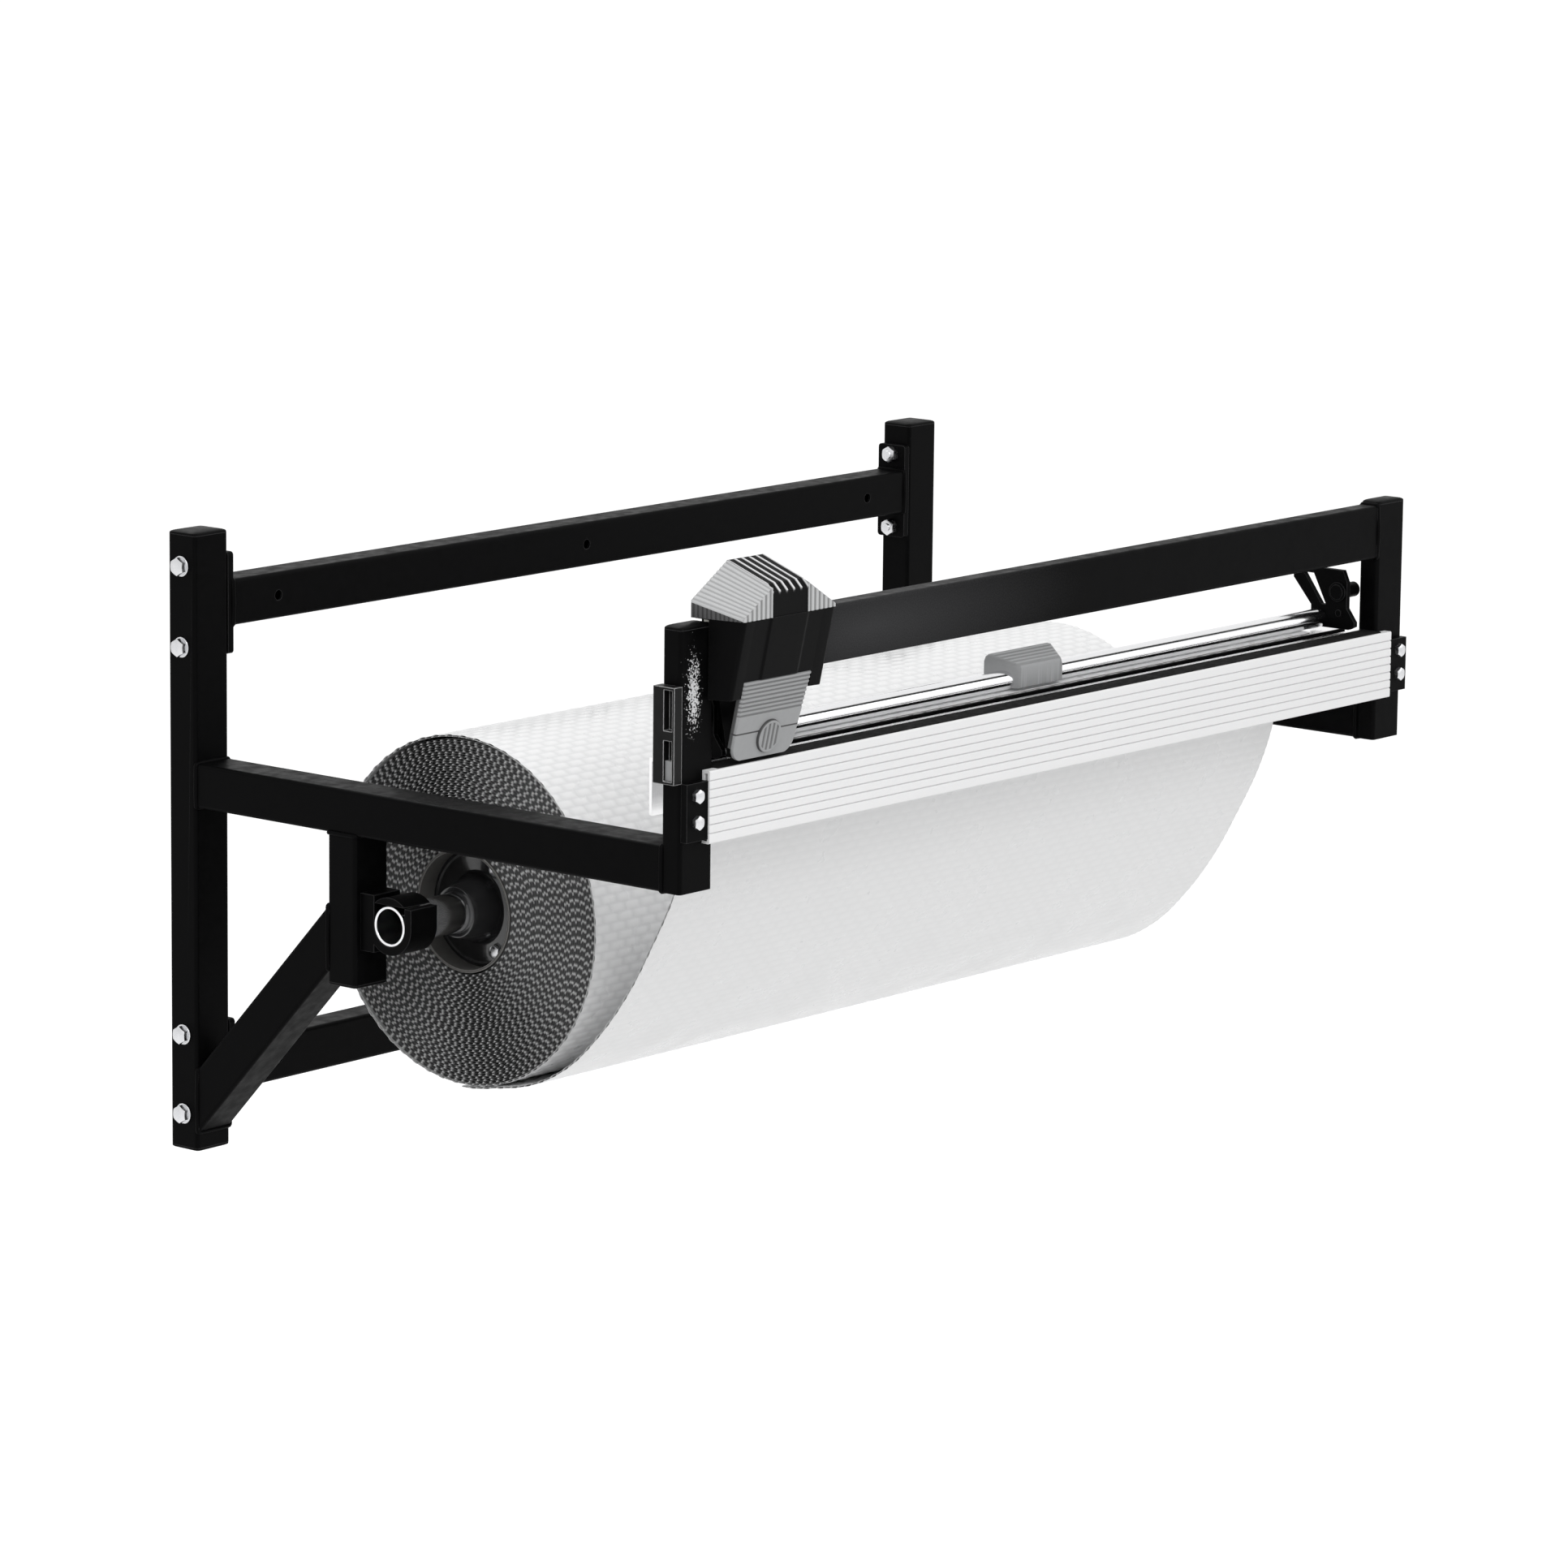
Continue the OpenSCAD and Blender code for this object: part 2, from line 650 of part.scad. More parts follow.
module left_lever() { color([0.05, 0.05, 0.05]) mirror([1, 0, 0]) right_lever_shape(); }
module right_lever() { color([0.05, 0.05, 0.05]) right_lever_shape(); }
// Screws that hold the bar's ends, with their heads outside the levers
module bar_screws() {
    head_h = beam_head_share * pin_d;
    color("silver") both_sides() {
        hex_x(lever_x1, lever_x1 + head_h, bar_y, bar_z, beam_hex);
        rod_x(lever_x0 + slip, lever_x1 + cut, bar_y, bar_z, pin_d / 2);
    }
}
module clamp_pins() {
    color("gray") both_sides()
        rod_x(lever_x0 - clip_t, lever_x1 + clip_t, pivot_y - clip_t, bar_z + pin_d, pin_d / 2);
}
// Saddle on the middle of the bar, wider at the back, with a roof that slopes to the front
grip_front_gap = 4;
grip_back_gap = 6;
grip_low_gap = 8;
grip_h = 37;
grip_fall = 12;
grip_ribs = 5;
module hold_down_grip() {
    y0 = bar_y - bar_r - grip_front_gap;
    y1 = bar_y + bar_r + grip_back_gap;
    z0 = bar_z - grip_low_gap;
    z1 = z0 + grip_h;
    rib = (y1 - y0) / (2 * grip_ribs);
    color("gray") translate([grip_shift, 0, 0]) difference() {
        intersection() {
            along_z(z0, z1) polygon([[-grip_w / 2, y0], [grip_w / 2, y0],
                [grip_back_w / 2, y1], [-grip_back_w / 2, y1]]);
            along_x(-grip_back_w, grip_back_w)
                polygon([[y0, z0], [y1, z0], [y1, z1], [y0, z1 - grip_fall]]);
        }
        rod_x(-grip_back_w, grip_back_w, bar_y, bar_z, bar_r + slip);
        block(-grip_back_w, grip_back_w, bar_y - bar_r + grip_front_gap / 2,
            bar_y + bar_r - grip_front_gap / 2, z0 - cut, bar_z);
        for (i = [1:grip_ribs - 1])
            translate([0, y0 + 2 * i * rib, z1 - grip_fall + 2 * i * rib * grip_fall / (y1 - y0)])
                along_x(-grip_back_w, grip_back_w) rotate(45) square(groove_side, center = true);
    }
}

// Roll, core, axle and hubs
function spiral_r(i) = core_r + loop_gap + loop_t / 2 + loop_pitch * i / loop_steps;
function spiral(i, s) =
    let (r = spiral_r(i) + s * loop_t / 2, a = 360 * i / loop_steps) [r * cos(a), r * sin(a)];
spiral_n = (roll_loops - 1) * loop_steps;
least_gap = min([for (i = [0:spiral_n - loop_steps])
    norm(spiral(i + loop_steps, -1) - spiral(i, 1)) * cos(180 / loop_steps)]);
echo(least_gap = least_gap);
module film_roll() {
    color("white") along_x(roll_x0, roll_x1) translate([-axle_reach, -axle_low])
        polygon(concat([for (i = [0:spiral_n]) spiral(i, 1)], [for (i = [spiral_n:-1:0]) spiral(i, -1)]));
}
module roll_core() {
    color("tan") difference() {
        rod_x(roll_x0, roll_x1, -axle_reach, -axle_low, core_r);
        rod_x(roll_x0 - cut, roll_x1 + cut, -axle_reach, -axle_low, core_bore / 2);
    }
}
module roll_axle() {
    color("silver") difference() {
        rod_x(-cradle_x, cradle_x, -axle_reach, -axle_low, axle_r);
        rod_x(-cradle_x - cut, cradle_x + cut, -axle_reach, -axle_low, axle_r - axle_wall);
    }
}
// Hub: a disc inside the core and a tapered collar that clamps the axle
module hub_shape() {
    bore = axle_r + slip;
    difference() {
        rotate([0, 90, 0]) rotate_extrude($fn = 96) polygon([[bore, -hub_proud], [hub_collar_r, -hub_proud],
            [hub_root_r, hub_recess], [core_bore / 2 - hub_fit, hub_recess],
            [core_bore / 2 - hub_fit, hub_recess + hub_disc_t], [bore, hub_recess + hub_disc_t]]);
        for (i = [0:hub_screws_n - 1]) rotate([360 * i / hub_screws_n, 0, 0])
            rod_x(hub_recess - cut, hub_recess + hub_disc_t + cut, hub_ring(), 0,
                hub_screw_d / 2 + thread_gap);
    }
}
function hub_ring() = (hub_root_r + core_bore / 2) / 2;
module at_left_hub() { translate([roll_x0, -axle_reach, -axle_low]) children(); }
module at_right_hub() { translate([roll_x1, -axle_reach, -axle_low]) mirror([1, 0, 0]) children(); }
module left_hub() { color("dimgray") at_left_hub() hub_shape(); }
module right_hub() { color("dimgray") at_right_hub() hub_shape(); }
module hub_screw_ring() {
    for (i = [0:hub_screws_n - 1]) rotate([360 * i / hub_screws_n, 0, 0]) {
        hex_x(hub_recess - hub_screw_d / 2, hub_recess, hub_ring(), 0, beam_hex);
        rod_x(hub_recess - cut, hub_recess + 2 * hub_disc_t, hub_ring(), 0, hub_screw_d / 2);
    }
}
module hub_screws() { color("silver") { at_left_hub() hub_screw_ring(); at_right_hub() hub_screw_ring(); } }

// Cutter head, drawn round the head's centre plane
ridge_z = deck_z + dome_h;
dome_gap = 14;
shoulder_gap = 7;
dome_back = post_front - post_d - dome_gap;
shoulder_y = post_front - post_d + shoulder_gap;
front_fall_share = 0.36;
side_fall_share = 0.62;
dome_y = head_front - shoulder_y;
pad_front_z = ridge_z - front_fall_share * dome_y;
pad_side_z = ridge_z - side_fall_share * (shoulder_half - band_half);
pad_corner_z = pad_front_z - side_fall_share * (head_half - band_half);
module at_head() { translate([head_x, 0, 0]) children(); }
// Local frame of the leaning front: x across, y inwards, z up from the front's upper edge
module on_front() { translate([0, -head_front, deck_z]) rotate([head_lean, 0, 0]) children(); }

// Solid with a flat quadrilateral base and a quadrilateral roof
module roofed(base, z, roof) {
    n = len(base);
    pts = concat([for (p = base) [p[0], p[1], z]], roof);
    polyhedron(pts, concat([[for (i = [0:n - 1]) i]], [[for (i = [n - 1:-1:0]) n + i]],
        [for (i = [0:n - 1]) [i, n + i, n + (i + 1) % n, (i + 1) % n]]));
}
// Right pad, hollow from below; e is how far the faces move inwards
module pad_solid(e) {
    open = e > 0 ? cut : 0;
    x0 = band_half - open;
    roofed([[x0, -head_front + e], [head_half - e, -head_front + e],
            [shoulder_half - e, -shoulder_y - e / 2], [x0, -dome_back - e]], deck_z - open,
        [[x0, -head_front + e, pad_front_z - e], [head_half - e, -head_front + e, pad_corner_z - e / 2],
            [shoulder_half - e, -shoulder_y - e / 2, pad_side_z - e], [x0, -shoulder_y - e, ridge_z - e]]);
}
module right_pad_shape() {
    difference() {
        pad_solid(0);
        pad_solid(shell_t);
    }
}
module left_grip_pad() { color("gray") at_head() mirror([1, 0, 0]) right_pad_shape(); }
module right_grip_pad() { color("gray") at_head() right_pad_shape(); }
// Middle band over the dome
band_rise = 1;
band_drop = 8;
band_ribs = 5;
module band_outline(e) {
    polygon([[-dome_back - e, deck_z - (e > 0 ? cut : 0)],
        [-shoulder_y + band_rise - e, ridge_z + band_rise - e],
        [-head_front + band_drop, pad_front_z + front_fall_share * band_drop + band_rise - e],
        [-head_front + e, pad_front_z - band_drop / 2], [-head_front + e, deck_z - (e > 0 ? cut : 0)]]);
}
module centre_band() {
    rib = 2 * band_half / (2 * band_ribs + 1);
    color([0.08, 0.08, 0.08]) at_head() difference() {
        along_x(-band_half + slip, band_half - slip) band_outline(0);
        along_x(-band_half + shell_t, band_half - shell_t) band_outline(shell_t);
    }
}

// Black shell round the front and sides of the head, open behind
function shell_x(y) = head_half + (head_front - y) * (shoulder_half - head_half) / dome_y;
module shell_solid(e) {
    open = e > 0 ? cut : 0;
    z0 = deck_z - shell_drop - open;
    y1 = -shell_back + open;
    side_x1 = shell_x(shell_back) - e;
    roofed([[head_half - e, front_y(z0) + e], [side_x1, y1], [-side_x1, y1],
            [-head_half + e, front_y(z0) + e]], z0,
        [[head_half - e, front_y(deck_z + open) + e, deck_z + open], [side_x1, y1, deck_z + open],
            [-side_x1, y1, deck_z + open], [-head_half + e, front_y(deck_z + open) + e, deck_z + open]]);
}
module head_shell() {
    color([0.05, 0.05, 0.05]) at_head() difference() {
        shell_solid(0);
        shell_solid(shell_t);
        on_front() block(-cover_half - seat, cover_half + seat, -shell_t, 2 * shell_t,
            -shell_drop - 2 * shell_t, -cover_drop + seat);
    }
}

// Outline of both grey covers in the leaning frame
cover_taper = 9;
cover_round = 16;
module cover_outline(e) {
    low = -cover_drop - cover_l + e;
    hull() {
        translate([-cover_half + e, -cover_drop - 2 * e]) square([2 * (cover_half - e), e + slip]);
        for (x = [cover_round - cover_half, cover_half - cover_taper - cover_round])
            translate([x, low + cover_round - e])
                circle(cover_round - e, $fn = 32);
    }
}
module cover_shape(top, low) {
    intersection() {
        along_y(0, cover_t) cover_outline(0);
        block(-cover_half - cut, cover_half + cut, -cut, cover_t + cut, -low, -top);
    }
}
module button_hole(r, y0, y1) { rod_y(y0, y1, 0, -button_drop, r); }
cover_ribs = 8;
rib_gap = 4.6;
rib_depth = 0.8;
module upper_cover() {
    color([0.5, 0.5, 0.5]) at_head() on_front() difference() {
        cover_shape(cover_drop, cover_drop + cover_split);
        button_hole(button_r + run + slip, -cut, cover_t + cut);
        for (i = [1:cover_ribs])
            block(-cover_half - cut, cover_half + cut, -cut, rib_depth, -cover_drop - i * rib_gap,
                -cover_drop - i * rib_gap + rib_gap / 3);
    }
}
module lower_cover() {
    color([0.5, 0.5, 0.5]) at_head() on_front() difference() {
        cover_shape(cover_drop + cover_split + seat, cover_drop + cover_l);
        button_hole(button_r + run + slip, -cut, cover_t + cut);
    }
}

// Carriage that straddles the crossbar, with the neck that carries covers, button and cartridge
button_flange_t = 2;
flange_r = button_r + button_flange_t;
pocket_y = cover_t + seat + button_flange_t + 2 * button_travel;
spring_r = 6.5;
spring_wire = 1.2;
spring_turns = 4;
spring_l = 9;
neck_gap = 3;
neck_lift = 7;
neck_back_gap = 18;
neck_toe_gap = 4;
car_inset = 1;
neck_top = crossbar_low - neck_gap;
neck_low = table_top + neck_lift;
neck_back = post_front - neck_back_gap;
neck_toe = post_front - neck_toe_gap;
car_half = cover_half - car_inset;
function neck_y(z) = -neck_back - (neck_top - z) * (neck_toe - neck_back) / (neck_top - neck_low);
function cover_back_y(z) = front_y(z) + (cover_t + slip) / cos(head_lean);
car_front = post_front + run + shoe_t;
car_back = post_front - post_d - run - shoe_t;
skirt_lift = 9;
skirt_low = crossbar_low + skirt_lift;
deck_edge = shell_t + 3 * seat;
module carriage() {
    neck_half = cover_half - cover_taper - shell_t;
    color([0.07, 0.07, 0.07]) at_head() difference() {
        union() {
            along_x(-car_half, car_half) {
                translate([-car_front - car_wall, neck_top - car_wall])
                    square([car_wall, deck_z - neck_top + car_wall]);
                translate([-car_back, skirt_low]) square([car_wall, deck_z - skirt_low]);
            }
            along_x(-neck_half, neck_half) polygon([
                [cover_back_y(neck_top), neck_top], [cover_back_y(neck_low), neck_low],
                [neck_y(neck_low), neck_low], [neck_y(neck_top), neck_top]]);
            along_z(deck_low, deck_z) {
                polygon([[head_half - deck_edge, front_y(deck_low) + deck_edge],
                    [shell_x(shell_back) - deck_edge, -shell_back],
                    [-shell_x(shell_back) + deck_edge, -shell_back],
                    [-head_half + deck_edge, front_y(deck_low) + deck_edge]]);
                translate([-car_half, -shell_back - cut])
                    square([2 * car_half, shell_back + cut - dome_back - slip]);
            }
        }
        on_front() button_hole(flange_r + run + slip, 0, pocket_y);
        on_front() button_hole(spring_r + 2 * spring_wire, 0, pocket_y + spring_l / 2);
    }
}
shoe_share = 0.35;
module slide_shoes() {
    shoe_l = shoe_share * car_half;
    color("ivory") at_head() for (s = [-1, 1]) translate([s * (car_half - shoe_l / 2), 0, 0])
        along_x(-shoe_l / 2, shoe_l / 2) difference() {
            translate([-car_front, skirt_low + shoe_t])
                square([car_front - car_back, deck_low - skirt_low - shoe_t]);
            translate([-post_front - run, skirt_low - cut])
                square([post_d + 2 * run, crossbar_top + run - skirt_low + cut]);
        }
}
// Cartridge behind the neck, with the blade in its leg
cart_half = 20;
leg_w = 11;
cart_lift = 9;
cart_low = table_top + cart_lift;
cart_arm = 33;
module blade_cartridge() {
    z1 = neck_top - car_wall;
    z0 = z1 - cart_arm;
    back = -groove_y + leg_w / 2;
    color("dimgray") at_head() difference() {
        along_x(-cart_half, cart_half) polygon([[neck_y(z1) + slip, z1], [neck_y(z0) + slip, z0],
            [back - leg_w, z0], [back - leg_w, cart_low], [back, cart_low], [back, z1]]);
        block(-cart_half + shell_t, cart_half - shell_t, -groove_y - blade_t / 2 - slip,
            -groove_y + blade_t / 2 + slip, cart_low - cut, z0 + cut);
    }
}
blade_half = 14;
blade_bite = 7;
blade_shoulder = 5;
module blade() {
    z0 = table_top - blade_bite;
    color("silver") at_head() along_y(-groove_y - blade_t / 2, -groove_y + blade_t / 2)
        polygon([[-blade_half, cart_low + 2 * blade_half],
            [-blade_half, z0 + blade_half - blade_shoulder], [0, z0],
            [blade_half, z0 + blade_half - blade_shoulder], [blade_half, cart_low + 2 * blade_half]]);
}
cutter_screw_d = 5;
module cutter_screws() {
    y0 = -car_back + car_wall;
    color("silver") at_head() for (s = [-1, 1])
        rod_y(y0, y0 + cutter_screw_d / 2, s * car_half * 2 / 3, deck_low - 3 * cutter_screw_d,
            cutter_screw_d);
}

// Release button with its return spring
button_proud = 3;
module release_button() {
    color([0.55, 0.55, 0.55]) at_head() on_front() {
        button_hole(button_r, -button_proud, cover_t + seat + button_flange_t);
        button_hole(flange_r, cover_t + seat, cover_t + seat + button_flange_t);
    }
}
spring_steps = 12;
module button_spring() {
    y0 = cover_t + seat + button_flange_t + seat + spring_wire / 2;
    y1 = pocket_y + spring_l / 2 - seat - spring_wire / 2;
    n = spring_turns * spring_steps;
    sides = 6;
    ring = function (i) let (a = 360 * i / spring_steps, y = y0 + (y1 - y0) * i / n)
        [for (k = [0:sides - 1]) let (b = 360 * k / sides, r = spring_r + spring_wire / 2 * cos(b))
            [r * cos(a), y + spring_wire / 2 * sin(b), -button_drop + r * sin(a)]];
    pts = [for (i = [0:n], p = ring(i)) p];
    quads = [for (i = [0:n - 1], k = [0:sides - 1])
        [i * sides + k, (i + 1) * sides + k,
            (i + 1) * sides + (k + 1) % sides, i * sides + (k + 1) % sides]];
    color("silver") at_head() on_front()
        polyhedron(pts, concat([[for (k = [sides - 1:-1:0]) k]], quads,
            [[for (k = [0:sides - 1]) n * sides + k]]));
}

left_upright();
right_upright();
tube_caps();
upper_rail();
lower_rail();
rail_flanges();
frame_bolts();
frame_nuts();
left_arm();
right_arm();
left_hanger();
right_hanger();
left_brace();
right_brace();
left_cradle();
right_cradle();
left_post();
right_post();
crossbar();
cutting_table();
groove_liner();
front_profile();
rubber_strip();
beam_end_plates();
beam_bolts();
table_screws();
side_bracket();
bracket_block();
pivot_shafts();
pivot_clips();
film_web();
hold_down_bar();
left_lever();
right_lever();
hold_down_grip();
bar_screws();
clamp_pins();
film_roll();
roll_core();
roll_axle();
left_hub();
right_hub();
hub_screws();
carriage();
slide_shoes();
head_shell();
left_grip_pad();
right_grip_pad();
centre_band();
upper_cover();
lower_cover();
blade_cartridge();
blade();
cutter_screws();
release_button();
button_spring();
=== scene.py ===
"""Looks of a wall stand for a wide roll of bubble film, with its cutting table and sliding cutter.

The camera and the studio are in metres, and the pieces in mm. Their places come from the CAD nodes' boxes.
"""

import bmesh
import bpy
import numpy as np
from mathutils import Matrix, Vector


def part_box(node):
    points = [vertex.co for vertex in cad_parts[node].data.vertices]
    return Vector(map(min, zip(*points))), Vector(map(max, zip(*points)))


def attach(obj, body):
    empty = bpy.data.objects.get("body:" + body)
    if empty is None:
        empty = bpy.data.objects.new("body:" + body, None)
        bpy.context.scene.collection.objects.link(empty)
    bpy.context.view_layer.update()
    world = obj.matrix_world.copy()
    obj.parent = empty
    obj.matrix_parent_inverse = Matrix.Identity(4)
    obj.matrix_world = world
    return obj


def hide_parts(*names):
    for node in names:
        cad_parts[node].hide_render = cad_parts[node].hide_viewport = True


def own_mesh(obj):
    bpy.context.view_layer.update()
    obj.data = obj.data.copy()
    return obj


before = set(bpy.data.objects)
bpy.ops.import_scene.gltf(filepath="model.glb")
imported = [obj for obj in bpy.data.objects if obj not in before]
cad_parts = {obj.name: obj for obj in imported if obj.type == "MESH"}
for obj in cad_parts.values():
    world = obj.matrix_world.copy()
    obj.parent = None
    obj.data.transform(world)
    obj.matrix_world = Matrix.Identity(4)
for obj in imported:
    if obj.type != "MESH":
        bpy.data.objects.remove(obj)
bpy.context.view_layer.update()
scene = bpy.context.scene

# Camera: the photo's view, from far out at the left and a little above, through a long lens.
# Its place and turn were fitted to the tubes' edges; the image is square.
IMAGE_SIDE = 1932
FOCAL_PIXELS = 8718.27
SENSOR_MM = 36
eye = np.array([-5.89826, -5.26113, 1.46421])
yaw, pitch, roll = np.radians([50.12, -10.66, 0.64])
forward = np.array([np.sin(yaw) * np.cos(pitch), np.cos(yaw) * np.cos(pitch), np.sin(pitch)])
level = np.array([np.cos(yaw), -np.sin(yaw), 0])
upward = np.cross(level, forward)
turned_right = np.cos(roll) * level + np.sin(roll) * upward
turned_up = np.cos(roll) * upward - np.sin(roll) * level
lens = bpy.data.cameras.new("camera")
lens.sensor_width = SENSOR_MM
lens.lens = FOCAL_PIXELS / IMAGE_SIDE * SENSOR_MM
camera = bpy.data.objects.new("camera", lens)
axes = np.stack([turned_right, turned_up, -forward, eye], axis=1)
camera.matrix_world = Matrix([*axes.tolist(), [0, 0, 0, 1]])
scene.collection.objects.link(camera)
scene.camera = camera
scene.view_settings.view_transform = "Standard"

# Studio: a pale floor well below the stand, a surround that is white to the eye and in reflections,
# and three large soft lamps, the strongest high at the left.
FLOOR_Z = -1.15
FLOOR_HALF = 45
FLOOR_GREY = (0.75, 0.75, 0.75, 1)
FLOOR_GLOW = (0.58, 0.58, 0.58, 1)
FLOOR_ROUGHNESS = 0.9
WHITE = (1, 1, 1, 1)
SURROUND_LIGHT = 0.6
LAMPS = [("key", (-2.2, -3.0, 3.2), 3.0, 85),
         ("fill", (2.8, -3.6, 1.6), 2.6, 20),
         ("back", (0.6, 2.4, 3.0), 2.2, 24)]


def feed(tree, value, socket):
    """Links an output to a socket, or sets a plain value on it."""
    if isinstance(value, bpy.types.NodeSocket):
        tree.links.new(value, socket)
    else:
        socket.default_value = value


def node(tree, kind, inputs=(), **settings):
    """New shader node with its own settings, and its inputs (name or number: value) linked or set."""
    made = tree.nodes.new("ShaderNode" + kind)
    for label, value in settings.items():
        setattr(made, label, value)
    for label, value in dict(inputs).items():
        feed(tree, value, made.inputs[label])
    return made


def seen(tree):
    """1 for rays from the eye, a mirror or glass, and 0 for those that carry light."""
    path = node(tree, "LightPath")
    total = path.outputs["Is Camera Ray"]
    for other in ("Is Glossy Ray", "Is Transmission Ray"):
        total = node(tree, "Math", {0: total, 1: path.outputs[other]}, operation="MAXIMUM").outputs[0]
    return total


world = bpy.data.worlds.new("studio")
world.use_nodes = True
scene.world = world
sky = world.node_tree
sky_light = sky.nodes["Background"]
sky_light.inputs["Color"].default_value = WHITE
sky_light.inputs["Strength"].default_value = SURROUND_LIGHT
sky_white = node(sky, "Background", {"Color": WHITE})
sky_mix = node(sky, "MixShader", {0: seen(sky), 1: sky_light.outputs[0], 2: sky_white.outputs[0]})
sky.links.new(sky_mix.outputs[0], sky.nodes["World Output"].inputs["Surface"])

floor_paint = bpy.data.materials.new("floor_paint")
floor_paint.use_nodes = True
paint = floor_paint.node_tree
matt = paint.nodes["Principled BSDF"]
matt.inputs["Base Color"].default_value = FLOOR_GREY
matt.inputs["Roughness"].default_value = FLOOR_ROUGHNESS
glow = node(paint, "Emission", {"Color": FLOOR_GLOW, "Strength": seen(paint)})
lit = node(paint, "AddShader", {0: matt.outputs[0], 1: glow.outputs[0]})
paint.links.new(lit.outputs[0], paint.nodes["Material Output"].inputs["Surface"])
floor_ends = [(x * FLOOR_HALF, y * FLOOR_HALF, FLOOR_Z) for x, y in [(-1, -1), (1, -1), (1, 1), (-1, 1)]]
floor_mesh = bpy.data.meshes.new("floor")
floor_mesh.from_pydata(floor_ends, [], [(0, 1, 2, 3)])
floor_mesh.materials.append(floor_paint)
floor = bpy.data.objects.new("floor", floor_mesh)
scene.collection.objects.link(floor)
for name, place, size, watts in LAMPS:
    lamp = bpy.data.lights.new(name, "AREA")
    lamp.size = size
    lamp.energy = watts
    holder = bpy.data.objects.new(name, lamp)
    aimed = (-Vector(place)).to_track_quat("-Z", "Y")
    holder.matrix_world = Matrix.LocRotScale(Vector(place), aimed, None)
    scene.collection.objects.link(holder)

# Wall frame: square steel tubes, welded and coated with satin black powder.
# The coat has the fine orange-peel grain of baked powder. Each edge is painted a paler line, partly the
# coat thinning there and partly a painted highlight along the rounded edge.
MM = 0.001
MERGE_M = 1e-6
TONE_COARSER = 12
TONE_RANGE = (0.35, 0.65)
EDGE_LIKENESS = (0.995, 0.8)


def node_group(name, takes, gives):
    """Shader node group with number inputs (name: value) and outputs (name: socket type)."""
    tree = bpy.data.node_groups.new(name, "ShaderNodeTree")
    for label, value in takes.items():
        taken = tree.interface.new_socket(label, in_out="INPUT", socket_type="NodeSocketFloat")
        taken.default_value = value
    for label, kind in gives.items():
        tree.interface.new_socket(label, in_out="OUTPUT", socket_type=kind)
    return tree, tree.nodes.new("NodeGroupInput"), tree.nodes.new("NodeGroupOutput")


def pattern_group(name, stretch):
    """Height, a fine noise, and Tone, one TONE_COARSER times as wide, both stretched along the axes."""
    tree, given, result = node_group(name, {"Scale": 500},
                                     {"Height": "NodeSocketFloat", "Tone": "NodeSocketFloat"})
    place = node(tree, "TexCoord").outputs["Object"]
    stretched = node(tree, "Mapping", {"Vector": place, "Scale": stretch}).outputs[0]
    for label, finer, detail in [("Height", 1, 2), ("Tone", 1 / TONE_COARSER, 4)]:
        scale = node(tree, "Math", {0: given.outputs["Scale"], 1: finer}, operation="MULTIPLY").outputs[0]
        noise = node(tree, "TexNoise", {"Vector": stretched, "Scale": scale, "Detail": detail})
        tree.links.new(noise.outputs["Fac"], result.inputs[label])
    return tree


def soft_edge_group():
    """Normal, rounded over Radius at each edge, and Edge, 1 where that turns it most."""
    tree, given, result = node_group("soft_edge", {"Radius": MM},
                                     {"Normal": "NodeSocketVector", "Edge": "NodeSocketFloat"})
    rounded = node(tree, "Bevel", {"Radius": given.outputs["Radius"]}).outputs[0]
    facing = node(tree, "NewGeometry").outputs["Normal"]
    likeness = node(tree, "VectorMath", {0: rounded, 1: facing}, operation="DOT_PRODUCT").outputs["Value"]
    edge = node(tree, "MapRange", {"Value": likeness, "From Min": EDGE_LIKENESS[0],
                                   "From Max": EDGE_LIKENESS[1]})
    tree.links.new(rounded, result.inputs["Normal"])
    tree.links.new(edge.outputs[0], result.inputs["Edge"])
    return tree


def mixed(tree, share, first, second):
    """Colour from first to second with a share; second is a colour, first a colour or a socket."""
    mix = node(tree, "Mix", {0: share}, data_type="RGBA")
    start, end = [i for i in mix.inputs if i.type == "RGBA"]
    feed(tree, (*first, 1) if isinstance(first, tuple) else first, start)
    feed(tree, (*second, 1), end)
    return next(o for o in mix.outputs if o.type == "RGBA")


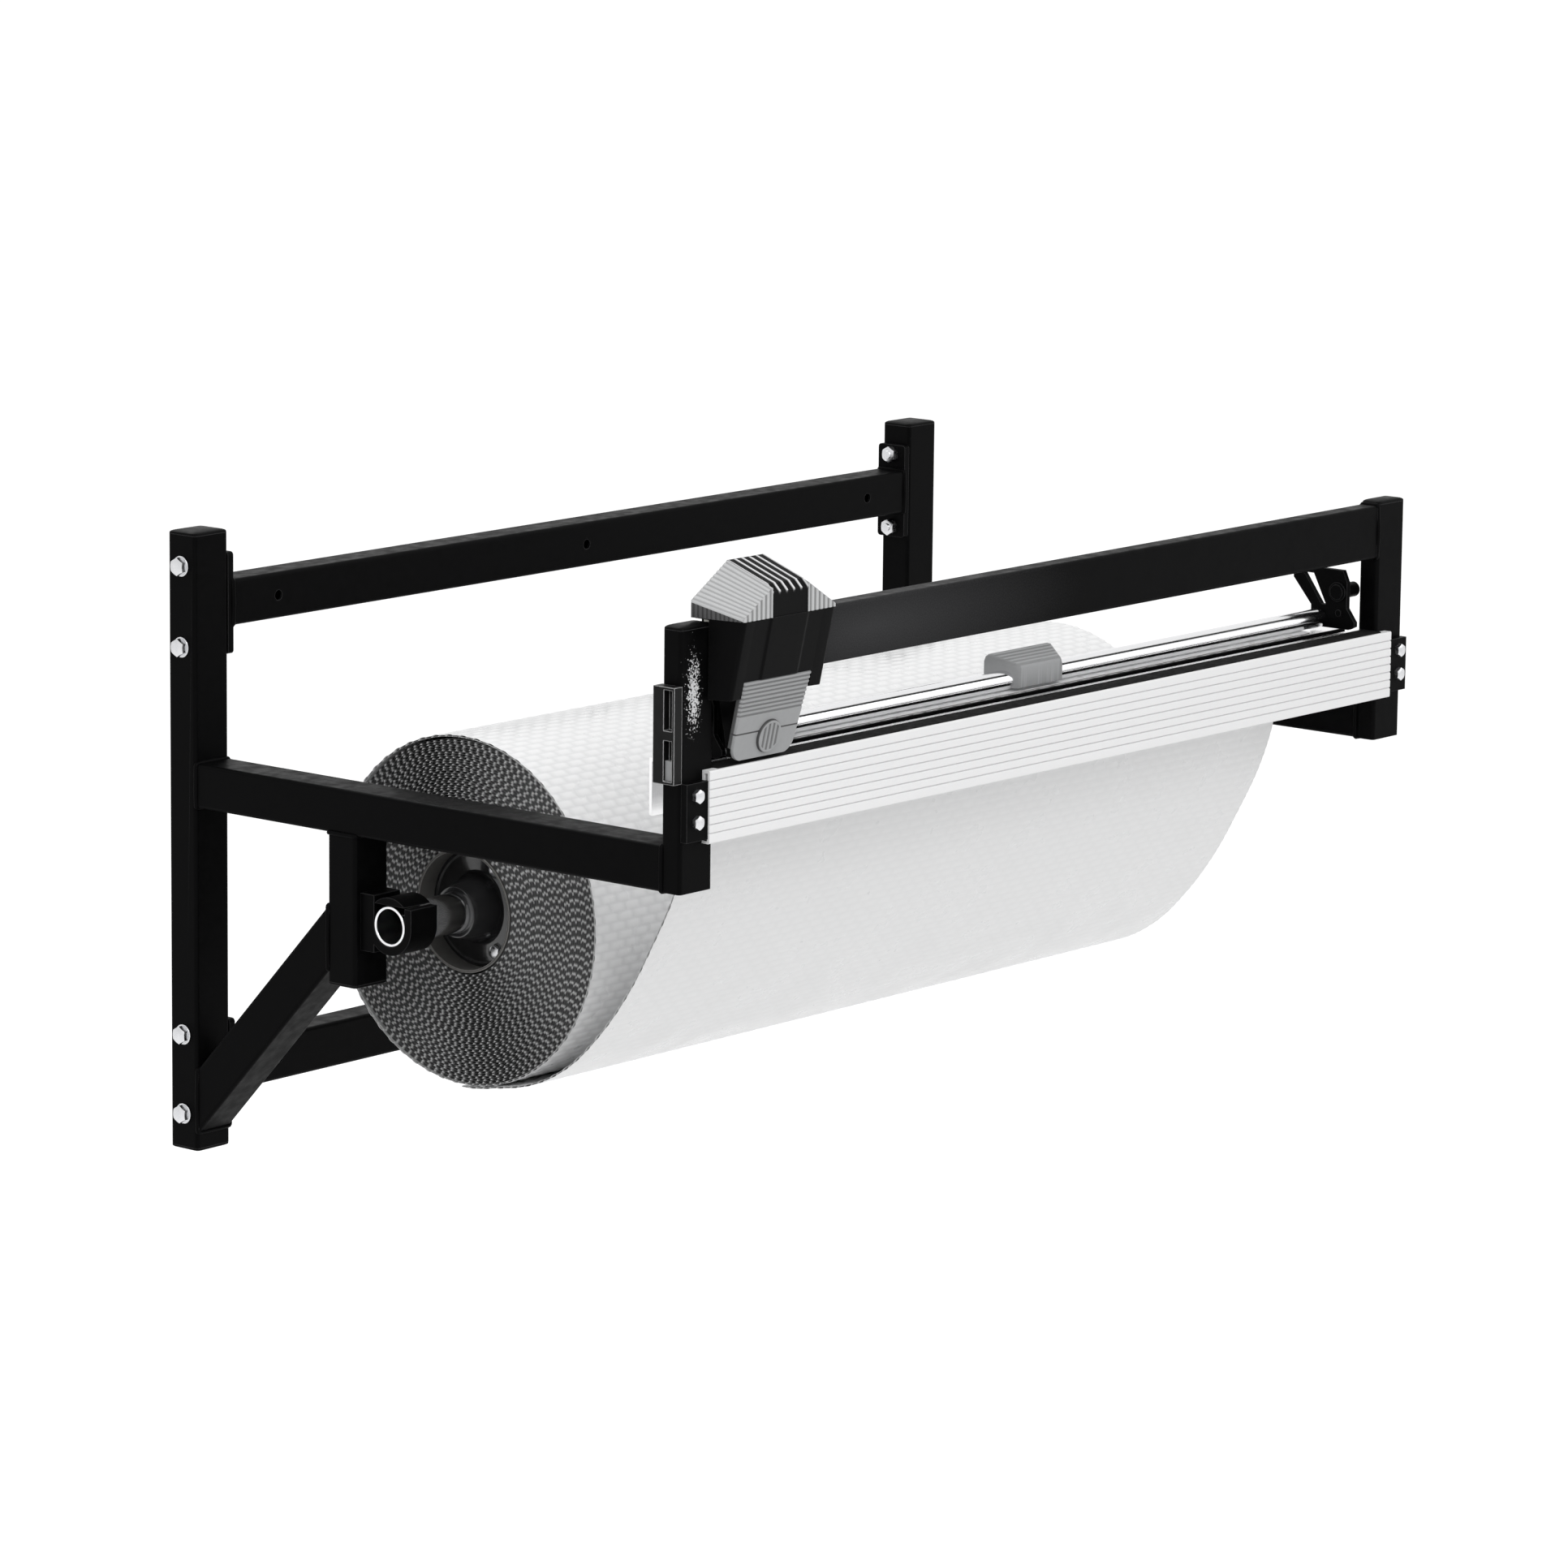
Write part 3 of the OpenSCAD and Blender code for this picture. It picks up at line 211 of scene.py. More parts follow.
def coating(name, pattern, grain, colours, roughness, edge_wear_and_highlight, bump=0.05, edge=0.6, marks=(), **settings):
    """Material whose colour and roughness run between two values with the pattern's Tone. Its edges are
    rounded to the eye over edge mm and take the edge colour, which stands for edge wear and for a painted
    highlight along the rounded edge. Each mark (attribute, colour) is laid over that as painted shade or a
    painted highlight. grain and bump are the pattern's size and depth in mm, and settings go on the
    shader's sockets."""
    material = bpy.data.materials.new(name)
    material.use_nodes = True
    tree = material.node_tree
    shader = tree.nodes["Principled BSDF"]
    for label, value in settings.items():
        shader.inputs[label.replace("_", " ")].default_value = value
    noise = node(tree, "Group", node_tree=pattern)
    noise.inputs["Scale"].default_value = 1 / (grain * MM)
    softened = node(tree, "Group", node_tree=soft_edge)
    softened.inputs["Radius"].default_value = edge * MM
    colour = mixed(tree, noise.outputs["Tone"], colours[0], colours[1])
    # The edge colour is partly edge wear and partly a painted highlight along each edge.
    colour = mixed(tree, softened.outputs["Edge"], colour, edge_wear_and_highlight)
    for label, tint in marks:
        mark = node(tree, "Attribute", attribute_name=label)
        colour = mixed(tree, mark.outputs["Fac"], colour, tint)
    gloss = node(tree, "MapRange", {"Value": noise.outputs["Tone"],
                                    "From Min": TONE_RANGE[0], "From Max": TONE_RANGE[1],
                                    "To Min": roughness[0], "To Max": roughness[1]})
    relief = node(tree, "Bump", {"Distance": bump * MM, "Height": noise.outputs["Height"],
                                 "Normal": softened.outputs["Normal"]})
    tree.links.new(colour, shader.inputs["Base Color"])
    tree.links.new(gloss.outputs[0], shader.inputs["Roughness"])
    tree.links.new(relief.outputs[0], shader.inputs["Normal"])
    return material


def dress(material, *nodes):
    """Gives CAD nodes one material."""
    for name in nodes:
        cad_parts[name].data.materials.clear()
        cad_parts[name].data.materials.append(material)


coat_grain = pattern_group("coat_grain", (1, 1, 1))
soft_edge = soft_edge_group()
# Its edge colour is a painted highlight along each edge, with some thinning of the coat.
powder_coat = coating("powder_coat", coat_grain, 1.1, [(0.0012, 0.0012, 0.0013), (0.003, 0.003, 0.0032)],
                      (0.36, 0.5), (0.07, 0.07, 0.072), edge=1.2, Specular_IOR_Level=0.03)
dress(powder_coat, "left_upright", "right_upright", "upper_rail", "lower_rail", "rail_flanges", "left_arm",
      "right_arm", "left_hanger", "right_hanger", "left_brace", "right_brace", "left_cradle",
      "right_cradle", "right_post", "beam_end_plates")


def span(name):
    """Lowest and highest corner of a CAD node, in mm."""
    low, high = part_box(name)
    return np.array(low) / MM, np.array(high) / MM


def piece(name, grids, material, body, stands_for=(), crease=35, marks=()):
    """One mesh from grids of points in mm. A grid is (points, closed rows, closed columns, filled ends):
    quads join neighbours, a closed way also joins last to first, and ends fills the first row, the last row
    or both. marks holds (attribute, one value for each point) for the first grids."""
    points, faces, first = [], [], 0
    for grid, close_rows, close_columns, ends in grids:
        rows, columns = grid.shape[:2]
        r, c = np.meshgrid(np.arange(rows - 1 + close_rows), np.arange(columns - 1 + close_columns),
                           indexing="ij")
        r2, c2 = (r + 1) % rows, (c + 1) % columns
        quads = np.stack([r * columns + c, r2 * columns + c, r2 * columns + c2, r * columns + c2], -1)
        faces += (quads.reshape(-1, 4) + first).tolist()
        ring = np.arange(columns) + first
        faces += [ring[::-1].tolist()] if "first" in ends else []
        faces += [(ring + (rows - 1) * columns).tolist()] if "last" in ends else []
        points.append(grid.reshape(-1, 3))
        first += rows * columns
    mesh = bpy.data.meshes.new(name)
    mesh.from_pydata((np.concatenate(points) * MM).tolist(), [], faces)
    for label, values in marks:
        shares = np.zeros(first, np.float32)
        shares[:values.size] = values.ravel()
        mesh.attributes.new(label, "FLOAT", "POINT").data.foreach_set("value", shares)
    work = bmesh.new()
    work.from_mesh(mesh)
    bmesh.ops.remove_doubles(work, verts=work.verts, dist=MERGE_M)
    bmesh.ops.recalc_face_normals(work, faces=work.faces)
    work.to_mesh(mesh)
    work.free()
    mesh.shade_smooth()
    mesh.set_sharp_from_angle(angle=np.radians(crease))
    mesh.materials.append(material)
    made = bpy.data.objects.new(name, mesh)
    scene.collection.objects.link(made)
    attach(made, body)
    if stands_for:
        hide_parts(*stands_for)
    return made


def capped(grid):
    """Grid that is closed along its columns, with its first and last row filled."""
    return grid, False, True, "first last"


def closed(grid):
    """Grid that is closed both ways."""
    return grid, True, True, ""


# Weld beads: run round each joint of the frame by hand and coated with it. A bead is a small round
# seam whose width pulses where the weld pool was moved on, and it is ground flush on the wall side.
BEAD_R = 2.4
BEAD_STEP = 1.3
BEAD_PULSE = 2.8
BEAD_HUMP = 0.16
TUBE_ROUND = 4
BRACE_CUT = 70
X, Y, Z = np.eye(3)


def points_of(*places):
    """Points from their places along each axis, spread to one grid."""
    return np.stack(np.broadcast_arrays(*places), -1)


def full_turn(count):
    """Angles spread evenly over one full turn."""
    return np.linspace(0, 2 * np.pi, count, endpoint=False)


def run_along(path):
    """Way from a line's start to each of its points."""
    return np.concatenate([[0], np.cumsum(np.linalg.norm(np.diff(path, axis=0), axis=1))])


def at_run(s, run, path):
    """Points of a plane line at the ways s from its start."""
    return points_of(np.interp(s, run, path[:, 0]), np.interp(s, run, path[:, 1]))


def round_rectangle(width, height, radius, step):
    """Points round a rectangle: four arcs of the radius joined by straight sides, step apart."""
    a = np.radians(np.linspace(0, 90, 7))
    arcs = [points_of(sx * (width / 2 - radius) + radius * np.cos(a + q),
                      sy * (height / 2 - radius) + radius * np.sin(a + q))
            for sx, sy, q in [(1, 1, 0), (-1, 1, np.pi / 2), (-1, -1, np.pi), (1, -1, 1.5 * np.pi)]]
    ring = np.concatenate([*arcs, arcs[0][:1]])
    run = run_along(ring)
    return at_run(np.linspace(0, run[-1], int(run[-1] / step), endpoint=False), run, ring)


def bead(centre, across, along, width, height):
    """Tube round a rectangle: its radius is BEAD_R with a small hump every BEAD_PULSE."""
    flat = round_rectangle(width, height, TUBE_ROUND, BEAD_STEP)
    out = flat[:, :1] * across + flat[:, 1:] * along
    path = np.array(centre) + out
    out /= np.linalg.norm(out, axis=1, keepdims=True)
    humps = 1 + BEAD_HUMP * np.abs(np.sin(np.pi * np.arange(len(path)) * BEAD_STEP / BEAD_PULSE))
    a = full_turn(8)[None, :, None]
    ring = np.cos(a) * out[:, None] + np.sin(a) * np.cross(across, along)
    return path[:, None] + BEAD_R * humps[:, None, None] * ring


arm_low, arm_high = span("right_arm")
hanger_low, hanger_high = span("right_hanger")
brace_low, brace_high = span("right_brace")
rail_low, rail_high = span("upper_rail")
bar_low, bar_high = span("crossbar")
side_x = (arm_low[0] + arm_high[0]) / 2
tube_w = arm_high[0] - arm_low[0]
tube_d = rail_high[1] - rail_low[1]
hanger_d = hanger_high[1] - hanger_low[1]
arm_mid = (arm_low[2] + arm_high[2]) / 2
rail_mid = (rail_low[2] + rail_high[2]) / 2
hanger_mid = (hanger_low[1] + hanger_high[1]) / 2
_, bar_y, bar_z = (bar_low + bar_high) / 2
_, bar_d, bar_h = bar_high - bar_low
seams = []
for s in (-1, 1):
    seams += [bead((s * side_x, y, arm_mid), X, Z, tube_w, arm_high[2] - arm_low[2])
              for y in (arm_low[1], arm_high[1])]
    seams.append(bead((s * side_x, hanger_mid, hanger_high[2]), X, Y, tube_w, hanger_d))
    seams += [bead((s * side_x, y, z), X, Z, tube_w, BRACE_CUT)
              for y, z in [(brace_high[1], brace_low[2] + BRACE_CUT / 2),
                           (brace_low[1], brace_high[2] - BRACE_CUT / 2)]]
    seams += [bead((s * rail_high[0], -tube_d / 2, z), Y, Z, tube_d, rail_high[2] - rail_low[2])
              for z in (-rail_mid, rail_mid)]
    seams.append(bead((s * bar_high[0], bar_y, bar_z), Y, Z, bar_d, bar_h))
seams = [np.minimum(g, [np.inf, 0, np.inf]) for g in seams]
piece("weld_beads", [closed(g) for g in seams], powder_coat, "frame", crease=60)

# Tube caps: black plastic plugs with a low dome, moulded in one piece. Each is pushed into an open tube
# end and holds there by its own spring.
CAP_RISE = 5
CAP_STEP = 3
CAP_ROUND = [(1, 0), (1, 0.26), (0.985, 0.4), (0.95, 0.53), (0.86, 0.68), (0.7, 0.82), (0.45, 0.93),
             (0.2, 0.98), (0, 1)]
black_plastic = coating("black_plastic", coat_grain, 0.7,
                        [(0.0015, 0.0015, 0.0016), (0.0035, 0.0035, 0.0037)], (0.36, 0.46),
                        (0.05, 0.05, 0.05), bump=0.03, edge=0.8, Specular_IOR_Level=0.04)


def cap(centre, width, depth, rise):
    """Outline of the tube, drawn in towards its middle while it climbs, as CAP_ROUND says."""
    ring = round_rectangle(width, depth, TUBE_ROUND, CAP_STEP)
    shares = np.array(CAP_ROUND)[:, None]
    grid = np.concatenate([shares[..., :1] * ring, shares[..., 1:] * rise + 0 * ring[:, :1]], -1)
    return grid + np.array(centre)


upright_low, upright_high = span("right_upright")
post_low, post_high = span("right_post")
post_mid = (post_low[1] + post_high[1]) / 2
caps = []
for s in (-1, 1):
    caps.append(cap((s * side_x, -tube_d / 2, upright_high[2]), tube_w, tube_d, CAP_RISE))
    caps.append(cap((s * side_x, -tube_d / 2, upright_low[2]), tube_w, tube_d, -CAP_RISE))
    caps.append(cap((s * side_x, hanger_mid, hanger_low[2]), tube_w, hanger_d, -CAP_RISE))
    caps.append(cap((s * side_x, post_mid, post_high[2]), tube_w, post_high[1] - post_low[1], CAP_RISE))
piece("end_caps", [capped(g) for g in caps], black_plastic, "frame", ["tube_caps"])

# Frame bolts and nuts: zinc-plated hexagon bolts with washers, through upright and flange, with the
# nut behind the flange and a few turns of thread past it.
BOLT_D = 10
BOLT_FLAT = 17
WASHER_D = 22
WASHER_T = 2
NUT_H = 8
HEX_STEPS = 72
CHAMFER_SHARE = 0.93
CHAMFER_SLOPE = np.tan(np.radians(30))
EDGE_BREAK = 0.5
THREAD_DEPTH = 0.45
THREAD_PITCH = 1.5
ROUND_STEPS = 64
zinc = coating("zinc", coat_grain, 0.6, [(0.55, 0.56, 0.58), (0.78, 0.78, 0.79)], (0.2, 0.36),
               (0.85, 0.85, 0.86), bump=0.02, edge=0.3, Metallic=1.0)


def aim(grid, place, towards):
    """Turns points drawn round +Z so that +Z points towards, and moves them to place."""
    towards = np.array(towards, float)
    side = np.cross(towards, Z if abs(towards[2]) < 0.9 else X)
    side /= np.linalg.norm(side)
    return np.array(place) + grid @ np.stack([side, np.cross(towards, side), towards])


def lathe(profile, steps=ROUND_STEPS):
    """Profile of (radius, height) turned round +Z."""
    a = full_turn(steps)
    r, z = np.array(profile, float).T[..., None]
    return points_of(r * np.cos(a), r * np.sin(a), z)


def hexagon(flat, low, high):
    """Hexagon prism whose top falls away in a shallow cone outside a circle just inside the flats."""
    a = full_turn(HEX_STEPS)
    r = flat / 2 / np.cos((a + np.pi / 6) % (np.pi / 3) - np.pi / 6)
    inner = CHAMFER_SHARE * flat / 2
    fall = (r - inner) * CHAMFER_SLOPE
    rings = [(0, low), (r, low), (r, high - fall), (inner, high), (0, high)]
    return np.stack([points_of(p * np.cos(a), p * np.sin(a), z) for p, z in rings])


def disc(diameter, low, high, chamfer=EDGE_BREAK, steps=48):
    """Round plate or rod with broken edges."""
    r, e = diameter / 2, min(chamfer, (high - low) / 4)
    return lathe([(0, low), (r - e, low), (r, low + e), (r, high - e), (r - e, high), (0, high)], steps)


def thread(diameter, low, high, pitch=THREAD_PITCH):
    """Screw thread: the radius falls and rises by a share of the pitch, along the axis and round it."""
    z = np.arange(low, high, pitch / 6)[:, None]
    a = full_turn(36)
    r = diameter / 2 - THREAD_DEPTH * pitch * np.abs(((z / pitch + a / (2 * np.pi)) % 1) * 2 - 1)
    return points_of(r * np.cos(a), r * np.sin(a), z)


def fastener(grids, place, towards):
    """The grids of one fastener, capped and put where it sits."""
    return [capped(aim(g, place, towards)) for g in grids]


_, bolt_high = span("frame_bolts")
_, nut_high = span("frame_nuts")
half_w = upright_high[0]
head_h = bolt_high[0] - half_w - WASHER_T
bolt_top = bolt_high[2] - WASHER_D / 2
bolts, nuts = [], []
for s in (-1, 1):
    for z in [t * (rail_mid + u * (bolt_top - rail_mid)) for t in (-1, 1) for u in (-1, 1)]:
        bolts += fastener([disc(WASHER_D, 0, WASHER_T), hexagon(BOLT_FLAT, WASHER_T, WASHER_T + head_h)],
                          (s * half_w, -tube_d / 2, z), (s, 0, 0))
        bolts += fastener([disc(BOLT_D, 0, half_w - nut_high[0]), thread(BOLT_D, -NUT_H - WASHER_T, 0)],
                          (s * nut_high[0], -tube_d / 2, z), (s, 0, 0))
        nuts += fastener([hexagon(BOLT_FLAT, 0, NUT_H)], (s * nut_high[0], -tube_d / 2, z), (-s, 0, 0))
piece("hex_bolts", bolts, zinc, "frame", ["frame_bolts"])
piece("hex_nuts", nuts, zinc, "frame", ["frame_nuts"])

# Axle: a chromed steel tube, cut to length and broken at its edges. It lies in two open cradles on the
# hangers, and the hubs are clamped to it.
AXLE_WALL = 3
TUBE_EDGE = 0.6
TUBE_STEPS = 96
drawn_lines = pattern_group("drawn_lines", (0.03, 1, 1))
chrome = coating("chrome", drawn_lines, 1.6, [(0.74, 0.745, 0.76), (0.9, 0.9, 0.905)], (0.1, 0.2),
                 (0.92, 0.92, 0.92), bump=0.012, edge=0.4, Metallic=1.0)
axle_low, axle_high = span("roll_axle")
axle_r = (axle_high[1] - axle_low[1]) / 2
axle_y, axle_z = (axle_low[1:] + axle_high[1:]) / 2
axle_end = axle_high[0]


def ring_profile(inner, outer, low, high, edge):
    """Closed profile of a tube's wall: both faces and both ends, with broken edges."""
    return [(inner, low + edge), (inner + edge, low), (outer - edge, low), (outer, low + edge),
            (outer, high - edge), (outer - edge, high), (inner + edge, high), (inner, high - edge)]


axle_wall = ring_profile(axle_r - AXLE_WALL, axle_r, -axle_end, axle_end, TUBE_EDGE)
tube = aim(lathe(axle_wall, TUBE_STEPS), (0, axle_y, axle_z), X)
piece("axle_tube", [closed(tube)], chrome, "roll", ["roll_axle"])

# Hubs: cast discs inside the core's ends with a tapered collar round the axle, in gloss black enamel.
# Three bolts with washers go through each disc.
HUB_SCREW_D = 8
HUB_SCREW_FLAT = 13
HUB_WASHER_D = 12.8
HUB_SCREW_PITCH = 1.25
HUB_SLACK = 0.05
HUB_DISC_T = 6
HUB_COLLAR_R = 27.5
HUB_ROOT_R = 38.5
HUB_RING_R = 51
enamel = coating("hub_enamel", coat_grain, 2.4, [(0.012, 0.012, 0.013), (0.022, 0.022, 0.023)],
                 (0.12, 0.24), (0.07, 0.07, 0.07), bump=0.08, edge=0.8, Coat_Weight=0.5)
hub_low, hub_high = span("left_hub")
core_low, core_high = span("roll_core")
hub_r = (hub_high[1] - hub_low[1]) / 2
disc_x = hub_high[0] - hub_low[0]
seat_x = disc_x - HUB_DISC_T
hub_profile = [(axle_r + HUB_SLACK, 0.8), (axle_r + 0.8, 0), (HUB_COLLAR_R - 1.5, 0),
               (HUB_COLLAR_R - 0.4, 0.4), (HUB_COLLAR_R, 1.5), (HUB_COLLAR_R + 2, 8),
               (HUB_ROOT_R - 2.2, seat_x - 5), (HUB_ROOT_R - 1, seat_x - 2), (HUB_ROOT_R + 2, seat_x),
               (hub_r - 5, seat_x), (hub_r - 4, seat_x - 1.5), (hub_r - 1, seat_x - 1.5),
               (hub_r, seat_x - 0.6), (hub_r, disc_x), (axle_r + HUB_SLACK, disc_x)]
hubs, hub_screws = [], []
for s in (-1, 1):
    end = core_high[0] if s > 0 else core_low[0]
    proud = end + s * (core_low[0] - hub_low[0])
    hubs.append(closed(aim(lathe(hub_profile, TUBE_STEPS), (proud, axle_y, axle_z), (-s, 0, 0))))
    for a in np.radians([0, 120, 240]):
        at = (proud - s * seat_x, axle_y + HUB_RING_R * np.cos(a), axle_z + HUB_RING_R * np.sin(a))
        parts = [disc(HUB_WASHER_D, 0, 1), hexagon(HUB_SCREW_FLAT, 1, HUB_SCREW_D / 2 + 1),
                 thread(HUB_SCREW_D, -2 * HUB_DISC_T, 0, HUB_SCREW_PITCH)]
        hub_screws += fastener(parts, at, (s, 0, 0))
piece("hub_castings", hubs, enamel, "roll", ["left_hub", "right_hub"])
piece("hub_bolts", hub_screws, zinc, "roll", ["hub_screws"])

# Core: a wound tube of dark board that the hubs hold from both ends. Its fibres show as a fine grain and
# its cut ends are rubbed pale.
CORE_WALL = 3
CORE_STEPS = 128
core_plies = pattern_group("core_plies", (0.6, 1.4, 1.4))
board = coating("core_board", core_plies, 2.2, [(0.06, 0.058, 0.055), (0.11, 0.107, 0.102)], (0.7, 0.9),
                (0.6, 0.59, 0.57), bump=0.12, edge=0.9)
core_r = (core_high[1] - core_low[1]) / 2
core_wall = ring_profile(core_r - CORE_WALL, core_r, core_low[0], core_high[0], EDGE_BREAK)
core_tube = aim(lathe(core_wall, CORE_STEPS), (0, axle_y, axle_z), X)
piece("core_tube", [closed(core_tube)], board, "roll", ["roll_core"])

# Bubble film on the roll: one long spiral of air-cushion film. Its cut ends show the layers as white rings
# broken by the mouths of the cut bubbles, which are painted near-black as painted shade. Its outside is
# quilted in staggered rows, with painted shade in the seams between the bubbles.
WEB_T = 2.4
SEAT = 0.3
WIND_PITCH = 2.6
WIND_T = 1.9
WIND_STEP = 2.5
SEAL_SHARE = 0.8
SEAL_DEEP = 0.2
MOUTH_SHADE = np.array([0.85, 1, 0.85, 0.85, 1, 0.85])
ROW = 10.0
BRICK = 24.0
SAMPLES = 4
PILLOW = np.array([0, 0.8, 1, 0.8, 0])
POCKET = 4.0
TELESCOPE = 1.5
LUMP = 0.8
SKIN_T = 1.5
SKIN_RISE = 0.9
RIM_SHADE = 0.2
# The film's marks are painted shade: grey in the seams between bubbles, near-black in the cut bubbles'
# mouths.
film = coating("bubble_film", coat_grain, 3.5, [(0.95, 0.953, 0.956), (0.98, 0.982, 0.983)], (0.25, 0.4),
               (0.98, 0.98, 0.98), bump=0.1, edge=0.4,
               marks=[("seam", (0.85, 0.853, 0.857)), ("cut", (0.008, 0.008, 0.009))])


def pillow(place):
    """Height of the film across one bubble, for a place in samples: 0 at each seam and 1 between."""
    return np.interp(place % SAMPLES, np.arange(SAMPLES + 1), PILLOW)


def quilt(rows, columns):
    """Height of the film over a grid, 0 to 1: pillows both ways, every second row moved by half a brick."""
    i, j = np.meshgrid(rows, np.arange(columns), indexing="ij")
    return pillow(i) * pillow(j + SAMPLES / 2 * (i // SAMPLES % 2))


web_low, web_high = span("film_web")
roll_r = axle_z - web_low[2] - WEB_T - 2 * SEAT
x0, x1 = core_low[0], core_high[0]
inner_r = core_r + SEAT + WIND_T / 2
outer_r = roll_r - SKIN_T - SKIN_RISE - SEAT - WIND_T / 2
s = np.arange(0, np.pi * (outer_r ** 2 - inner_r ** 2) / WIND_PITCH, WIND_STEP)
wind_r = np.sqrt(inner_r ** 2 + WIND_PITCH * s / np.pi)
angle = (wind_r - inner_r) * 2 * np.pi / WIND_PITCH
share = (wind_r - inner_r) / (outer_r - inner_r)
# Each turn of the film is a little out of round (lump), and its edge wanders to the side (wander).
lump = LUMP * share * ((np.sin(3 * angle + 1) + 0.6 * np.sin(7 * angle)) / 1.6 - 1)
wander = TELESCOPE * (0.5 + 0.5 * np.sin(wind_r * 1.3) * np.cos(angle / 7))
open_bubble = pillow(np.arange(len(s))) > 0
half_t = WIND_T / 2 * np.where(open_bubble, 1, SEAL_SHARE)
deep = np.where(open_bubble, POCKET, SEAL_DEEP)
left, far = x0 + wander, x1 - wander
ends_x = np.stack([left, left + deep, left, far, far - deep, far], 1)
ends_r = (wind_r + lump)[:, None] + half_t[:, None] * np.array([-1, 0, 1, 1, 0, -1])
ends_y = axle_y + ends_r * np.cos(angle)[:, None]
ends_z = axle_z + ends_r * np.sin(angle)[:, None]
# The mouths of the open bubbles on the cut ends take painted shade.
piece("wound_film", [capped(points_of(ends_x, ends_y, ends_z))], film, "roll", ["film_roll"],
      crease=50, marks=[("cut", open_bubble[:, None] * MOUTH_SHADE)])

across = int(round((x1 - x0) / BRICK * SAMPLES))
around = int(np.pi * roll_r / ROW) * 2 * SAMPLES
height = quilt(np.arange(around), across + 1)
turn = full_turn(around)[:, None]
flat = 0 * turn
cut_row = (np.arange(around) % SAMPLES > 0)[:, None]
skin_low = roll_r - SKIN_RISE - SKIN_T
mid_r = skin_low + SKIN_T / 2
skin_x = np.linspace(x0, x1, across + 1)
skin_r = np.concatenate([roll_r - SKIN_RISE * (1 - height), mid_r + flat, skin_low + flat,
                         skin_low + flat, mid_r + flat], 1)
skin_at = np.concatenate([skin_x + flat, x1 - POCKET * cut_row, x1 + flat, x0 + flat,
                          x0 + POCKET * cut_row], 1)
skin = points_of(skin_at, axle_y + skin_r * np.cos(turn), axle_z + skin_r * np.sin(turn))
# Painted shade in the pockets of the skin's cut ends, and fainter on their rim.
rim = RIM_SHADE * cut_row
skin_cut_shade = np.concatenate([0 * height, cut_row, rim, rim, cut_row], 1)
# Painted shade in the seams between the skin's pillows, darkest where the film is lowest.
skin_seam_shade = np.concatenate([(1 - height) ** 2, np.zeros((around, 4))], 1)
piece("film_skin", [closed(skin)], film, "roll", crease=60,
      marks=[("cut", skin_cut_shade), ("seam", skin_seam_shade)])

# Cutting table: a bare aluminium channel with the blade's groove in its top, a white ribbed profile along
# its front, and a rubber strip that the film's cut edge rests on.
PROFILE_GROOVES = 7
PROFILE_BAND = 0.84
PROFILE_WALL = 3
PROFILE_ROUND = 1.5
GROOVE_DEEP = 1.2
STRIP_EDGE = 0.6
STRIP_PITCH = 2.4
STRIP_DEEP = 0.25
# The profile's groove colour is painted shade in its grooves.
profile_white = coating("profile_white", drawn_lines, 1.2, [(0.88, 0.88, 0.885), (0.93, 0.93, 0.935)],
                        (0.3, 0.42), (0.95, 0.95, 0.95), bump=0.03, edge=0.5,
                        marks=[("groove", (0.66, 0.66, 0.67))])
table_aluminium = coating("table_aluminium", drawn_lines, 1.2, [(0.88, 0.88, 0.885), (0.94, 0.94, 0.945)],
                          (0.18, 0.26), (0.95, 0.95, 0.95), bump=0.02, edge=0.5, Metallic=1.0)
strip_rubber = coating("strip_rubber", coat_grain, 0.5, [(0.003, 0.003, 0.003), (0.007, 0.007, 0.007)],
                       (0.6, 0.8), (0.03, 0.03, 0.03), bump=0.06, edge=0.5, Specular_IOR_Level=0.1)
dress(table_aluminium, "cutting_table")
dress(black_plastic, "groove_liner")
dress(zinc, "table_screws")
(profile_x, profile_y, profile_z), (_, profile_back, profile_top) = span("front_profile")
profile_h = profile_top - profile_z
groove_z = (profile_top - profile_h * (1 - PROFILE_BAND) / 2
            - (np.arange(PROFILE_GROOVES) + 0.5) * profile_h * PROFILE_BAND / PROFILE_GROOVES)
face_z = np.linspace(profile_z + PROFILE_ROUND, profile_top - PROFILE_ROUND, 241)
groove = np.clip(1 - np.abs(face_z[:, None] - groove_z).min(1) / GROOVE_DEEP, 0, 1)
arc = np.radians(np.linspace(90, 0, 5))[:-1]
bent = PROFILE_ROUND * (1 - points_of(np.cos(arc), np.sin(arc)))
face = points_of(profile_y + GROOVE_DEEP * groove, face_z)
under = points_of(profile_y + bent[:, 0], profile_z + bent[:, 1])
over = points_of(profile_y + bent[::-1, 0], profile_top - bent[::-1, 1])
outer = np.concatenate([under, face, over, [[profile_back, profile_top], [profile_back, profile_z]]])
middle = np.array([(profile_y + profile_back) / 2, (profile_z + profile_top) / 2])
inner_half = np.array([(profile_back - profile_y) / 2 - PROFILE_WALL, profile_h / 2 - PROFILE_WALL])
inner = middle + np.clip(outer - middle, -inner_half, inner_half)


def extruded(outline, low, high):
    """Outline in Y and Z carried along X, as two rows of points."""
    return np.stack([np.insert(outline, 0, x, axis=1) for x in (low, high)])


inside = extruded(inner, profile_x, -profile_x)
hollow = np.concatenate([inside[:1], extruded(outer, profile_x, -profile_x), inside[1:]])
